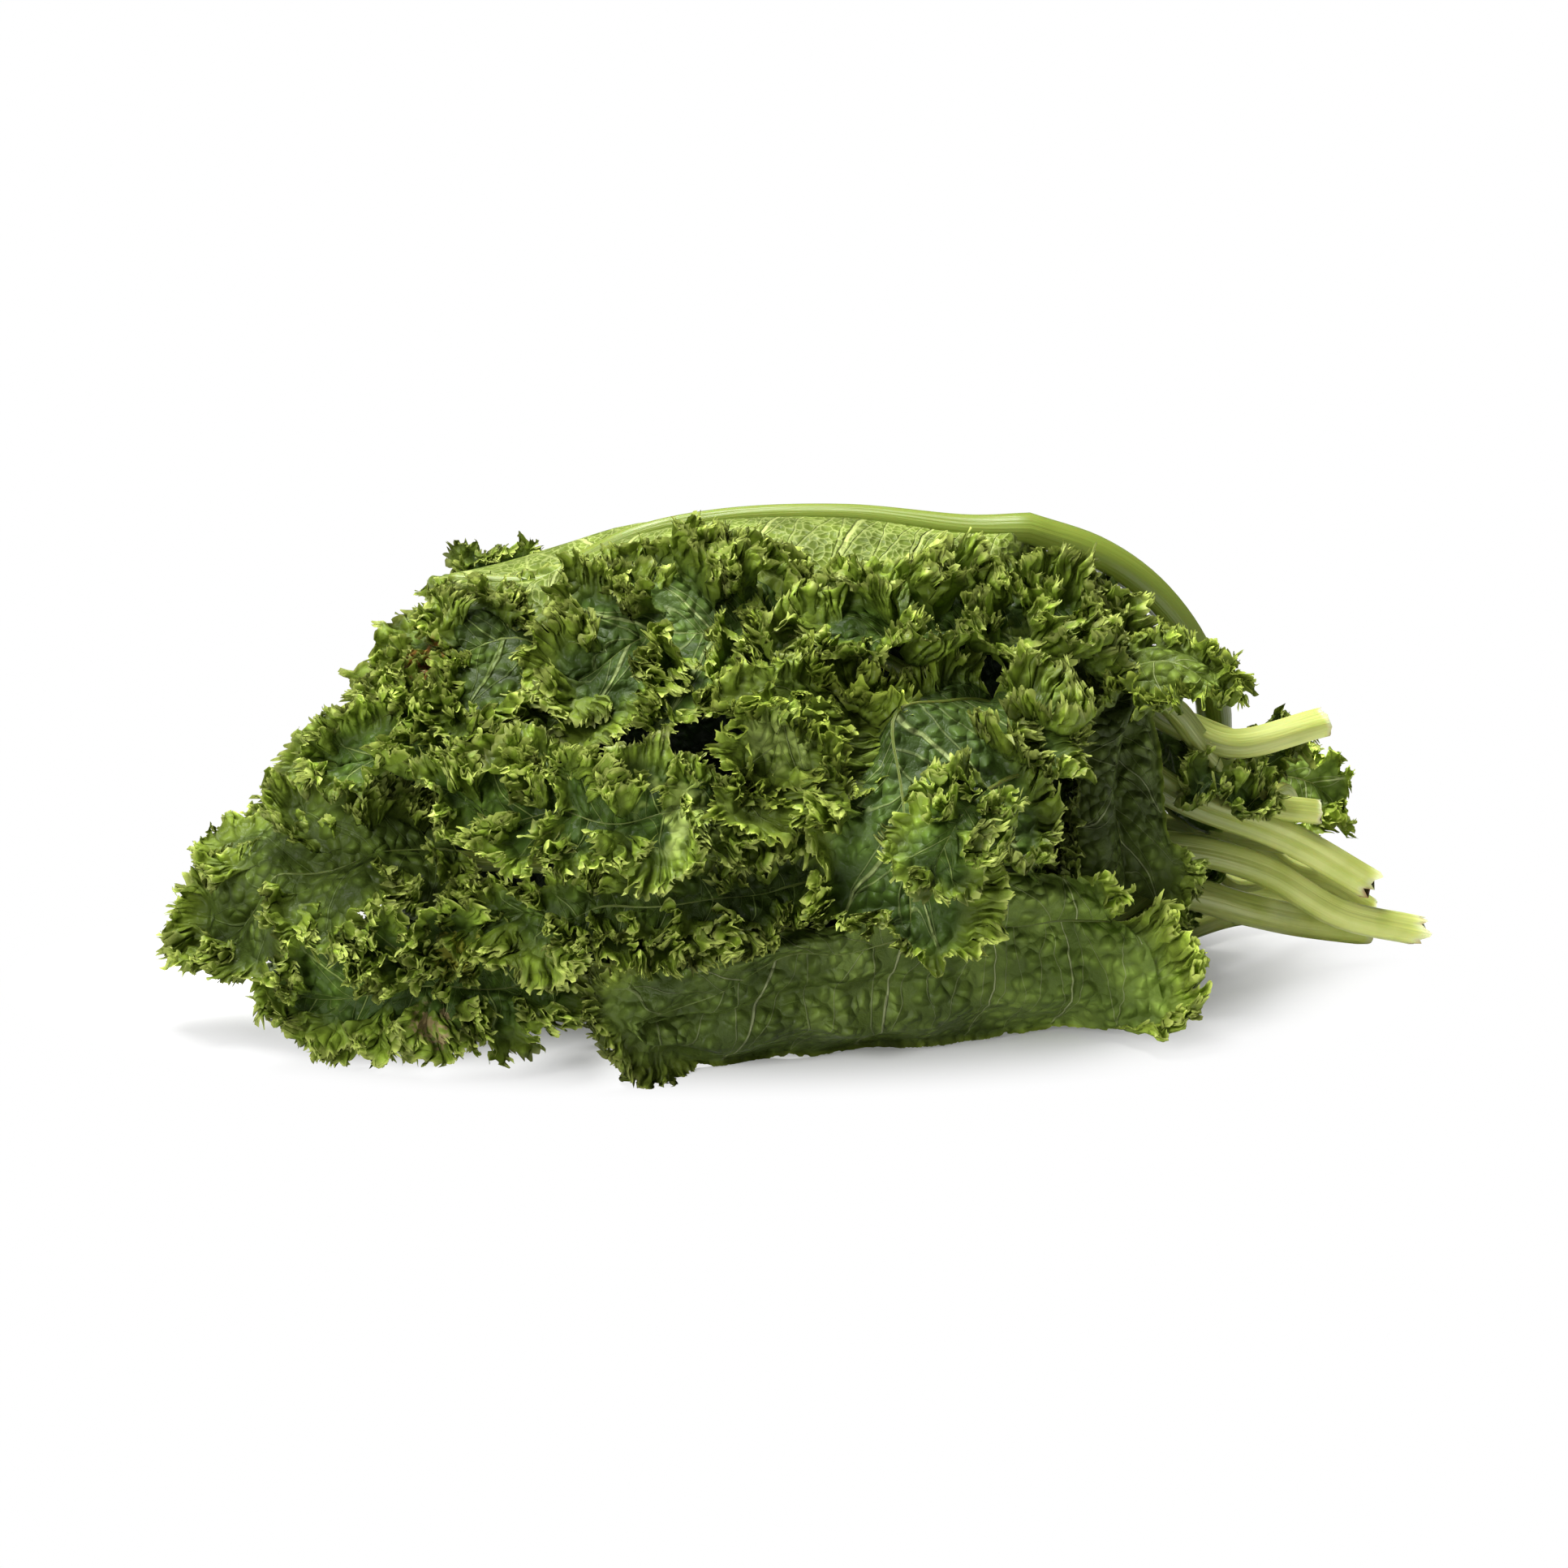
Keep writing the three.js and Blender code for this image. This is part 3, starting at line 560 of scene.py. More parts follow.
def frill_grid(leaf, columns):
    """The ruffled margin as rows of points, with its columns spread evenly along the outer edge.

    The raised sheet is ruffled three times over, by smaller and smaller waves counted along its own growing
    edge, and cut into lobes and teeth. Gives the rows, their shares of the depth, how far each point was
    lifted off the even sheet, and the columns they stand on.
    """
    seed = leaf_seed(leaf)
    t = np.cumsum(np.concatenate([np.full(count, length) for count, length in FRILL_STEPS]))
    t = (t / t[-1])[:, None]
    ends = edge_shares(leaf, columns["along"])
    even, depth = raised_margin(leaf, columns, t, ends)
    surface = even
    (broad, broad_pitch), (middle, middle_pitch), (fine, fine_pitch) = WAVES
    along = columns["along"]
    phase = wave_phase(along, broad_pitch, WAVE_JITTER, seed + 70)
    swing = broad * t**0.8 * (0.4 + 0.6 * t) * ends * uneven(along, 22.0, 0.4, seed + 4)
    surface = ruffled(surface, columns["up"], phase, swing, LOOP_ROUNDNESS)
    along = distances(surface[-1])
    phase = wave_phase(along, middle_pitch, WAVE_JITTER, seed + 71)
    swing = middle * smooth_step(0.1, 0.8, t) * (0.5 + 0.5 * t) * ends * uneven(along, 20.0, 0.5, seed + 5)
    surface = ruffled(surface, columns["up"], phase, swing, LOOP_ROUNDNESS)
    along = distances(surface[-1])
    lobe_at = wave_phase(along, LOBE_PITCH, 0.4, seed + 73)
    lobes = np.abs(np.sin(np.pi * lobe_at)) ** 0.45 * uneven(along, 9.0, 0.35, seed + 8)
    tilt = smooth_noise(lobe_at, seed + 74) * np.abs(np.sin(np.pi * lobe_at)) ** 0.5
    most = 2 ** len(FRILL_STEPS)
    count = max(3, round(along[-1] / leaf.get("spacing", EDGE_SPACING) / most)) * most + 1
    places = np.interp(np.linspace(0.0, along[-1], count), along, np.arange(len(along)))
    columns = {name: at_places(values, places) for name, values in columns.items()}
    surface, even = at_places(surface, places), at_places(even, places)
    by_column = (ends, lobes, depth, along, tilt)
    ends, lobes, depth, along, tilt = (at_places(values, places) for values in by_column)
    phase = wave_phase(along, fine_pitch, WAVE_JITTER, seed + 72)
    _, heading, normal = crossways(surface, columns["up"])
    swing = fine * smooth_step(0.5, 1.0, t) * ends * uneven(along, 8.0, 0.6, seed + 6)
    cup = LOBE_TILT * tilt * smooth_step(0.4, 1.0, t) ** 1.5 * ends
    surface = ruffled(surface, columns["up"], phase, swing, FINE_ROUNDNESS) + normal * cup[..., None]
    random = np.random.default_rng(seed + 9)
    tooth_sizes = random.uniform(0.5, 1.3, count // len(TOOTH) + 1)
    teeth = np.resize(TOOTH, count) * np.repeat(tooth_sizes, len(TOOTH))[:count]
    reach = LOBE_DEPTH * (lobes - 0.6) * smooth_step(0.25, 1.0, t)
    reach = reach + TOOTH_DEPTH * (teeth - 0.4) * smooth_step(0.88, 1.0, t)
    surface = surface + heading * (reach * ends)[..., None]
    for length, bend in FRILL_CRUMPLES:
        surface = surface + crumple(surface, length, bend, seed + round(length)) * (t * ends)[..., None]
    columns["depth"] = depth
    lift = ((surface - even) * columns["up"]).sum(2)
    return surface, t[:, 0], lift, columns


def leaf_sheet(leaf):
    rib, rib_length, columns = blade_columns(leaf)
    grid, shares, lifts, columns = frill_grid(leaf, columns)
    sheet = Sheet()
    most = 2 ** len(FRILL_STEPS)
    coarse = {name: values[::most] for name, values in columns.items()}
    rows = leaf.get("rows", BLADE_ROWS)
    for k in range(rows + 1):
        part = k / rows
        points, flat = blade_row(leaf, coarse, part)
        edge, lift = np.full(len(points), part - 1.0), np.zeros(len(points))
        sheet.add_row(points, np.column_stack([edge, coarse["lobe"], flat * rib_length, lift]))
    _, flat = blade_row(leaf, columns, 1.0)
    outwards = np.sign(columns["side"]) * columns["depth"]
    skips = []
    for level, (count, _) in enumerate(FRILL_STEPS):
        skips += [2 ** (len(FRILL_STEPS) - 1 - level)] * count
    for points, share, lift, skip in zip(grid, shares, lifts, skips):
        spread = flat * rib_length + np.stack([np.zeros_like(outwards), outwards * share], axis=1)
        values = np.column_stack([np.full(len(points), share), columns["lobe"], spread, lift])
        sheet.add_row(points[::skip], values[::skip])
    return sheet, rib


def carried_back(directions, first):
    """Cross directions carried along a line without twisting, from its end back to its start."""
    carried = [first]
    for direction in directions[::-1]:
        last = carried[-1]
        carried.append(unit(last - np.dot(last, direction) * direction))
    return np.array(carried[1:][::-1])


def stalk_line(leaf, rib):
    """Points, upward directions and radii of the stalk and, after it, the midrib."""
    stalk, _ = curve_through(leaf["stalk"], STALK_STATIONS)
    rib_length = np.linalg.norm(np.diff(rib, axis=0), axis=1).sum()
    steps = max(8, round(rib_length / RIB_STEP))
    blade = sample(rib, np.linspace(0.0, RIB_END, steps))
    line = np.vstack([stalk, blade[1:]])
    tangent = unit(np.gradient(line, axis=0))
    foot, tip = leaf["stalk"][-1], leaf["rib"][-1]
    left = curve_through([foot] + leaf["left"] + [tip], 60)[0]
    right = curve_through([foot] + leaf["right"] + [tip], 60)[0]
    shares = np.linspace(0.1, RIB_END, steps)
    across = sample(right, shares) - sample(left, shares)
    up = softened(unit(np.cross(across, tangent[len(stalk) - 1 :])), 6)
    up = np.vstack([carried_back(tangent[: len(stalk) - 1], up[0]), up])
    up = unit(up - (up * tangent).sum(1, keepdims=True) * tangent)
    share = np.linspace(0.0, 1.0, steps)[1:]
    rib_radius = leaf.get("rib_radius", RIB_RADIUS)
    stalk_radius = leaf.get("stalk_radius", leaf["radius"])
    near_blade = smooth_step(0.75, 1.0, np.linspace(0.0, 1.0, len(stalk)))
    radius = np.concatenate([
        stalk_radius * (1.0 - near_blade) + rib_radius * near_blade,
        rib_radius * (1.0 - (1.0 - leaf.get("rib_taper", RIB_TAPER)) * share**0.7),
    ])
    sunk = np.concatenate([np.zeros(len(stalk)), smooth_step(0.0, 0.15, share)])
    sunk = sunk * leaf.get("rib_sink", RIB_SINK)
    line = line - up * (radius * sunk)[:, None]
    inside = np.concatenate([smooth_step(0.5, 1.0, np.linspace(0.0, 1.0, len(stalk))), np.ones(len(share))])
    return line + leaf_bend(leaf, line) * inside[:, None], up, tangent, radius


def stalk_sheet(leaf, rib):
    """A ribbed stalk with a groove along it, which runs on as the midrib, thinner and thinner, to the tip."""
    line, up, tangent, radius = stalk_line(leaf, rib)
    wide = np.cross(tangent, up)
    turn = np.linspace(0.0, 2 * math.pi, STALK_SIDES, endpoint=False)
    place, half_width, depth = leaf.get("groove", GROOVE)
    groove = depth * np.exp(-(((turn - place) / half_width) ** 2))
    reach = 1.0 + RIDGE_HEIGHT * np.cos(RIDGES_ROUND * turn) - groove
    sideways = wide[:, None] * (np.cos(turn) * reach)[None, :, None]
    upwards = up[:, None] * (np.sin(turn) * reach)[None, :, None]
    rings = line[:, None] + radius[:, None, None] * (sideways + upwards)
    ragged = np.random.default_rng(leaf_seed(leaf)).uniform(-1.0, 0.4, STALK_SIDES) * leaf.get("torn", TORN)
    rings[0] += tangent[0] * ragged[:, None]
    points = rings.reshape(-1, 3)
    i = np.arange(STALK_SIDES)
    following = (i + 1) % STALK_SIDES
    faces = []
    for k in range(len(rings) - 1):
        a, b = k * STALK_SIDES, (k + 1) * STALK_SIDES
        faces += np.stack([a + i, a + following, b + following, b + i], axis=1).tolist()
    faces.append(i.tolist())
    faces.append((len(points) - STALK_SIDES + i)[::-1].tolist())
    return points, faces


def leaf_bend(leaf, points):
    """How the whole leaf is bent out of its even shape."""
    length, reach = leaf.get("bend", LEAF_BEND)
    return crumple(points, length, reach, leaf_seed(leaf) + 90)


def set_attribute(mesh, name, kind, values):
    attribute = mesh.attributes.new(name, kind, "POINT")
    attribute.data.foreach_set("value" if kind == "FLOAT" else "vector", values.astype(np.float32).ravel())


def stalk_values(count):
    """What the leaf's attributes say on the stalk: edge, lobe, ring along it, place round it, lift."""
    ring, turn = np.divmod(np.arange(count), STALK_SIDES)
    round_it = np.abs(turn - STALK_SIDES / 2)
    return np.column_stack([np.full(count, -1.0), 0 * ring, ring, round_it / MM, 0 * ring])


def make_leaf(leaf, materials):
    sheet, rib = leaf_sheet(leaf)
    tube, tube_faces = stalk_sheet(leaf, rib)
    points = np.vstack(sheet.points)
    points = points + leaf_bend(leaf, points)
    values = np.vstack(sheet.values)
    first = len(points)
    everything = np.vstack([points, tube])
    everything[:, 2] = np.maximum(everything[:, 2], GROUND_CLEARANCE)
    everything = (everything - BUNCH_CENTRE) * MM
    faces = sheet.faces + [[first + i for i in face] for face in tube_faces]
    mesh = bpy.data.meshes.new(leaf["name"] + "_look")
    mesh.from_pydata(everything.tolist(), [], faces)
    values = np.vstack([values, stalk_values(len(tube))])
    set_attribute(mesh, "edge", "FLOAT", values[:, 0])
    pitch = np.full(len(values), leaf.get("lobes", LOBES)[2])
    # The vein vector's third value is the lift, which drives the painted shade and highlight in the leaf
    # materials.
    set_attribute(mesh, "vein", "FLOAT_VECTOR", np.column_stack([values[:, 1], pitch, values[:, 4]]))
    set_attribute(mesh, "flat", "FLOAT_VECTOR", np.column_stack([values[:, 2:4] * MM, np.zeros(len(values))]))
    for material in materials:
        mesh.materials.append(material)
    slots = np.zeros(len(faces), dtype=np.int32)
    slots[len(sheet.faces) :] = 1
    mesh.polygons.foreach_set("material_index", slots)
    mesh.shade_smooth()
    piece = bpy.data.objects.new(leaf["name"] + "_look", mesh)
    bpy.context.scene.collection.objects.link(piece)
    return piece


# ---------- materials ----------

class Shader:
    """A material's node tree with short ways to add and join nodes."""

    def __init__(self, name):
        self.material = bpy.data.materials.new(name)
        self.material.use_nodes = True
        self.tree = self.material.node_tree
        self.surface = self.tree.nodes["Principled BSDF"]
        self.output = self.tree.nodes["Material Output"]

    def node(self, kind, settings=None, **inputs):
        made = self.tree.nodes.new("ShaderNode" + kind)
        for name, value in (settings or {}).items():
            setattr(made, name, value)
        for name, value in inputs.items():
            self.feed(made, name.replace("_", " "), value)
        return made

    def feed(self, node, name, value):
        socket = node.inputs[int(name)] if name.isdigit() else node.inputs[name]
        if isinstance(value, bpy.types.NodeSocket):
            self.tree.links.new(value, socket)
        else:
            socket.default_value = value

    def attribute(self, name, output="Fac"):
        return self.node("Attribute", {"attribute_name": name}).outputs[output]

    def maths(self, operation, a, b=0.0):
        made = self.node("Math", {"operation": operation})
        self.feed(made, "0", a)
        self.feed(made, "1", b)
        return made.outputs[0]

    def product(self, first, *others):
        for other in others:
            first = self.maths("MULTIPLY", first, other)
        return first

    def vector_maths(self, operation, a, b, output=0):
        made = self.node("VectorMath", {"operation": operation})
        self.feed(made, "0", a)
        self.feed(made, "Scale" if operation == "SCALE" else "1", b)
        return made.outputs[output]

    def range(self, value, low, high, to_low=0.0, to_high=1.0):
        made = self.node("MapRange", {"interpolation_type": "SMOOTHSTEP"})
        names = ("Value", "From Min", "From Max", "To Min", "To Max")
        for name, number in zip(names, (value, low, high, to_low, to_high)):
            self.feed(made, name, number)
        return made.outputs[0]

    def mix(self, factor, a, b, blend="MIX"):
        """Two colours mixed; a colour is a socket or three numbers."""
        made = self.node("Mix", {"data_type": "RGBA", "blend_type": blend})
        for index, value in (("0", factor), ("6", a), ("7", b)):
            self.feed(made, index, (*value, 1.0) if isinstance(value, tuple) else value)
        return made.outputs[2]

    def place(self):
        return self.node("NewGeometry").outputs["Position"]

    def part(self, vector, axis):
        return self.node("SeparateXYZ", None, Vector=vector).outputs[axis]

    def mapped(self, vector, **settings):
        return self.node("Mapping", None, Vector=vector, **settings).outputs[0]

    def noise(self, vector, scale, detail=2.0, output=0):
        made = self.node("TexNoise", None, Vector=vector, Scale=scale, Detail=detail)
        return made.outputs[output]

    def bump(self, strength, distance, height):
        made = self.node("Bump", None, Strength=strength, Distance=distance, Height=height)
        return made.outputs[0]

    def cells(self, vector, scale, feature):
        """Distances in an irregular net of cells, from its lines or from the cells' middles."""
        made = self.node("TexVoronoi", {"feature": feature}, Vector=vector, Scale=scale)
        return made.outputs[0]

    def patch(self, place, middle, size, ragged, core, strength):
        """How strongly a round patch with a ragged edge covers each place, fully in its core."""
        *waves, inwards, outwards = ragged
        distance = self.vector_maths("DISTANCE", place, middle, 1)
        edge = self.range(self.noise(place, *waves), 0.35, 0.65, inwards, outwards)
        return self.range(self.maths("ADD", distance, edge), size, core * size, 0.0, strength)

    def mix_in(self, share, other):
        """Mixes a second shader into the surface by a share, as the material's look."""
        both = self.node("MixShader")
        self.feed(both, "0", share)
        self.feed(both, "1", self.surface.outputs[0])
        self.feed(both, "2", other)
        self.feed(self.output, "Surface", both.outputs[0])


# ---------- the leaves' and stalks' materials ----------

# The net between a blade's cells: cells to a metre, its lines' width, their strength out on the ruffle and in
# on the blade, and how far the cells rise. Below 0, the lines are raised and pale instead of sunk and dark;
# the dark sunk lines are painted shade in the creases.
VALLEYS = (185.0, 0.16, 0.0, 0.45, 1.0)
RIDGES = (290.0, 0.11, 0.1, 0.55, -0.28)
# Painted shade and light along x, off here: from where to where, and the brightness at each.
EVEN = (0.0, 0.1, 1.0, 1.0)  # from where to where along x, and the brightness at each

# waves to a metre and detail of the random patterns
BLADE_PATCHES = (38.0, 3.0)
EDGE_BLOTCHES = (120.0, 2.0)
VEIN_WANDER = (45.0, 2.0)
NET_BEND = (150.0, 1.0)
GRAIN = (900.0, 2.0)
SHINE_PATCHES = (260.0, 2.0)
CLOUDS = (((14.0, 2.0), (0.85, 1.15)), ((75.0, 2.0), (0.8, 1.22)))  # each with the brightness it runs between
STALK_CLOUDS = (60.0, 3.0)

NET_BEND_REACH = 0.004
# The ruffle's painted shade and highlight: darker where it sinks under the even sheet, lighter where it rises
# over it.
LIFT_SHADE = (-4.5, 4.5, 0.45, 1.45)  # millimetres under and over the even sheet, and the brightness there
# Painted highlight on a blade cell's dome and painted shade round its foot: from where to where, and the
# brightness at each.
DOME_SHADE = (0.0, 0.9, 0.72, 1.18)
LEAF_ROUGHNESS = (0.36, 0.56)
LEAF_SPECULAR = 0.2
LEAF_GLOW = 0.2  # share of a leaf's surface that lets light through
BUMP_HEIGHT = 0.003

# Pale patches placed at fixed spots: partly paler blade and partly painted sheen.
PALE_PATCH = (0.500, 0.630, 0.150)
PATCH_EDGE = (120.0, 2.0, -0.005, 0.005)  # waves to a metre, detail, and how far it moves in and out
SPOT_EDGE = (300.0, 3.0, -0.004, 0.006)
PALE_PATCHES = (  # middle and size
    ((-0.015, -0.085, 0.120), 0.013),
    ((-0.045, -0.100, 0.095), 0.013),
    ((0.075, -0.020, 0.135), 0.012),
)
SPOTS = (  # dry blemishes: middle, size and colour
    ((-0.135, -0.015, 0.125), 0.007, (0.34, 0.14, 0.035)),
    ((-0.145, -0.015, 0.120), 0.004, (0.60, 0.48, 0.22)),
    ((-0.120, -0.090, 0.045), 0.008, (0.46, 0.46, 0.07)),
    ((-0.130, -0.095, 0.020), 0.007, (0.40, 0.30, 0.14)),
)


def vein_lines(shader, flat, edge, wide):
    """1 on the side veins and their branches, 0 between them. They fade as they run out into the ruffle."""
    vein = shader.attribute("vein", "Vector")
    lobe, pitch = shader.part(vein, 0), shader.part(vein, 1)
    wander = shader.product(shader.maths("SUBTRACT", shader.noise(flat, *VEIN_WANDER), 0.5), 0.22)
    place = shader.maths("ADD", lobe, wander)
    main = shader.product(shader.maths("PINGPONG", shader.maths("ADD", place, 0.5), 0.5), pitch)
    slant = shader.product(edge, 0.42)
    strong = shader.range(main, wide, 0.35 * wide)
    branches = []
    for sign in (1.0, -1.0):
        side = shader.maths("ADD", shader.product(place, 2.0), shader.product(slant, sign))
        gap = shader.product(shader.maths("PINGPONG", side, 0.5), shader.product(pitch, 0.5))
        branches.append(shader.range(gap, 0.5 * wide, 0.15 * wide, 0.0, 0.45))
    lines = shader.maths("MAXIMUM", strong, shader.maths("MAXIMUM", *branches))
    return shader.product(lines, shader.range(edge, 0.45, -0.3))


def leaf_tint(shader, place, sweep):
    """Brightness: uneven clouds, a painted shade and light that sweeps along x, and painted highlights on the
    crests with painted shade in the folds.
    """
    clouds = [shader.range(shader.noise(place, *waves), 0.3, 0.7, *levels) for waves, levels in CLOUDS]
    # Painted shade and light: darker and lighter along x.
    swept = shader.range(shader.part(place, 0), *sweep)
    # Painted highlight on crests lifted over the even sheet and painted shade in the folds under it.
    lift = shader.part(shader.attribute("vein", "Vector"), 2)
    return shader.product(*clouds, swept, shader.range(lift, *LIFT_SHADE))


def leaf_material(name, deep, blade, frill, rim, vein, wide=0.35, net=VALLEYS, sweep=EVEN):
    """A leaf: puffed green cells between pale side veins, turning yellow-green through the ruffle.

    The veins are wide millimetres across. The sweep is painted shade and light that changes the brightness
    along x.
    """
    shader = Shader(name)
    edge = shader.attribute("edge")
    flat = shader.attribute("flat", "Vector")
    place = shader.place()
    inner = shader.mix(shader.range(shader.noise(place, *BLADE_PATCHES), 0.35, 0.65), deep, blade)
    blotches = shader.product(shader.maths("SUBTRACT", shader.noise(flat, *EDGE_BLOTCHES), 0.5), 0.6)
    # Through the ruffle, darker at its base and yellow-green outwards: partly the leaf's own colour, partly
    # painted shade deep in the ruffle.
    colour = shader.mix(shader.range(shader.maths("ADD", edge, blotches), -0.1, 0.85), inner, frill)
    # The pale rim on the teeth: partly the margin's own colour, partly a painted highlight.
    colour = shader.mix(shader.range(edge, 0.88, 0.99), colour, rim)
    # Pale patches: partly paler blade, partly painted sheen.
    for middle, size in PALE_PATCHES:
        colour = shader.mix(shader.patch(place, middle, size, PATCH_EDGE, 0.6, 0.8), colour, PALE_PATCH)
    cells, line, least, most, rise = net
    wobble = shader.vector_maths("SCALE", shader.noise(place, *NET_BEND, 1), NET_BEND_REACH)
    bent = shader.vector_maths("ADD", place, wobble)
    lines = shader.range(shader.cells(bent, cells, "DISTANCE_TO_EDGE"), line, 0.15 * line)
    lines = shader.product(lines, shader.range(edge, 0.2, -0.2, least, most))
    # Sunk net lines in the deepest green are painted shade in the creases; raised ones take the vein colour.
    colour = shader.mix(lines, colour, vein if rise < 0 else deep)
    side_vein = vein_lines(shader, flat, edge, wide)
    colour = shader.mix(side_vein, colour, vein)
    for middle, size, dry in SPOTS:
        colour = shader.mix(shader.patch(place, middle, size, SPOT_EDGE, 0.5, 0.9), colour, dry)
    tint = leaf_tint(shader, place, sweep)
    domes = shader.range(shader.cells(bent, cells, "F1"), 0.75, 0.0)
    # Painted highlight on the domes' tops and painted shade between them, where the cells rise.
    if rise > 0:
        tint = shader.product(tint, shader.range(domes, *DOME_SHADE))
    shade = shader.node("CombineColor", None, Red=tint, Green=tint, Blue=tint).outputs[0]
    colour = shader.mix(1.0, colour, shade, "MULTIPLY")
    grain = shader.product(shader.noise(bent, *GRAIN), 0.12)
    height = shader.maths("ADD", shader.product(domes, rise), grain)
    height = shader.maths("ADD", height, shader.product(side_vein, 0.3))
    strong = shader.range(edge, -0.05, 0.35, 1.0, 0.7)
    bump = shader.bump(strong, BUMP_HEIGHT, height)
    rough = shader.range(shader.noise(flat, *SHINE_PATCHES), 0.3, 0.7, *LEAF_ROUGHNESS)
    shader.feed(shader.surface, "Base Color", colour)
    shader.feed(shader.surface, "Roughness", rough)
    shader.feed(shader.surface, "Normal", bump)
    shader.feed(shader.surface, "Specular IOR Level", LEAF_SPECULAR)
    glow = shader.node("BsdfTranslucent", None, Color=colour, Normal=bump).outputs[0]
    shader.mix_in(LEAF_GLOW, glow)
    return shader.material


CUT_CREAM = (0.640, 0.660, 0.380)
CUT_BROWN = (0.380, 0.250, 0.100)
# Along x: the stalk turns from its dark inside colour, partly painted shade, to its pale outside colours.
GREEN_UNTIL = 0.110  # along x
PALE_FROM = 0.185
STREAKS = (60.0, 1.1, 1.0)  # the streak pattern's scale along a stalk and round it
STALK_BUMP = (0.5, 0.001)  # strength and height
STALK_ROUGHNESS = 0.38


def stalk_material(name, inside, outside, bright, streaks):
    """A juicy stalk: greener and darker inside the bunch than outside it, partly its own green and partly
    painted shade, with long streaks and faint clouds.
    """
    shader = Shader(name)
    place = shader.place()
    along = shader.attribute("flat", "Vector")
    cloud = shader.noise(place, *STALK_CLOUDS)
    streak = shader.noise(shader.mapped(along, Scale=STREAKS), 1.0, 3.0)
    pale = shader.mix(shader.range(cloud, 0.3, 0.7), outside, bright)
    # Partly painted shade: the stalk is darker inside the bunch.
    colour = shader.mix(shader.range(shader.part(place, 0), GREEN_UNTIL, PALE_FROM), inside, pale)
    colour = shader.mix(shader.range(streak, 0.5, 0.75, 0.0, 0.4), colour, streaks)
    colour = shader.mix(shader.range(streak, 0.48, 0.28, 0.0, 0.4), colour, inside)
    ring = shader.part(along, 0)
    colour = shader.mix(shader.range(ring, 0.0008, 0.0, 0.0, 0.8), colour, CUT_CREAM)
    brown = shader.product(shader.range(ring, 0.0005, 0.0), shader.range(cloud, 0.5, 0.62))
    colour = shader.mix(brown, colour, CUT_BROWN)
    bump = shader.bump(*STALK_BUMP, streak)
    shader.feed(shader.surface, "Base Color", colour)
    shader.feed(shader.surface, "Roughness", STALK_ROUGHNESS)
    shader.feed(shader.surface, "Normal", bump)
    shader.feed(shader.surface, "Subsurface Weight", 0.15)
    shader.feed(shader.surface, "Subsurface Scale", 0.004)
    return shader.material


# ---------- the stage ----------

TARGET = Vector((0.0, 0.0, 75.0))  # millimetres, as the camera's distance
CAMERA_HEIGHT_ANGLE = math.radians(17.0)
CAMERA_DISTANCE = 1307.5
CAMERA_LENS = 85.0
CAMERA_SHIFT = -0.002
FLOOR_SIZE = 6.0
FLOOR_MIDDLE = (0.09, -0.06, 0.0)
FLOOR_SPREAD = (2.4, 5.0, 1.0)  # how quickly the floor turns white, by direction
FLOOR_WHITENS = (0.36, 0.62, 0.08, 1.0)  # from where to where, and the share of plain white at each
WORLD_STRENGTH = 0.15
WHITE = (1.0, 1.0, 1.0, 1.0)


def add_camera():
    data = bpy.data.cameras.new("camera")
    data.lens = CAMERA_LENS
    data.shift_x = CAMERA_SHIFT
    camera = bpy.data.objects.new("camera", data)
    centre = Vector(BUNCH_CENTRE)
    back = Vector((0.0, -math.cos(CAMERA_HEIGHT_ANGLE), math.sin(CAMERA_HEIGHT_ANGLE)))
    camera.location = (TARGET - centre + back * CAMERA_DISTANCE) * MM
    camera.rotation_euler = (-back).to_track_quat("-Z", "Y").to_euler()
    bpy.context.scene.collection.objects.link(camera)
    bpy.context.scene.camera = camera


def add_softbox(name, place, aim, width, power):
    data = bpy.data.lights.new(name, "AREA")
    data.shape = "DISK"
    data.size = width
    data.energy = power
    lamp = bpy.data.objects.new(name, data)
    lamp.location = place
    lamp.rotation_euler = (Vector(aim) - Vector(place)).to_track_quat("-Z", "Y").to_euler()
    bpy.context.scene.collection.objects.link(lamp)


def add_floor():
    """A white floor with soft shadows near the bunch, which the camera sees turn evenly white further out."""
    mesh = bpy.data.meshes.new("floor")
    corners = [(FLOOR_SIZE * x, FLOOR_SIZE * y, 0) for x, y in ((-1, -1), (1, -1), (1, 1), (-1, 1))]
    mesh.from_pydata(corners, [], [(0, 1, 2, 3)])
    floor = bpy.data.objects.new("floor", mesh)
    bpy.context.scene.collection.objects.link(floor)
    shader = Shader("floor_white")
    shader.feed(shader.surface, "Base Color", (0.86, 0.86, 0.86, 1.0))
    shader.feed(shader.surface, "Roughness", 0.9)
    shader.feed(shader.surface, "Specular IOR Level", 0.1)
    stretched = shader.mapped(shader.place(), Location=FLOOR_MIDDLE, Scale=FLOOR_SPREAD)
    distance = shader.node("VectorMath", {"operation": "LENGTH"}, Vector=stretched).outputs[1]
    seen = shader.node("LightPath").outputs["Is Camera Ray"]
    white = shader.node("Emission", None, Color=WHITE).outputs[0]
    shader.mix_in(shader.product(shader.range(distance, *FLOOR_WHITENS), seen), white)
    mesh.materials.append(shader.material)


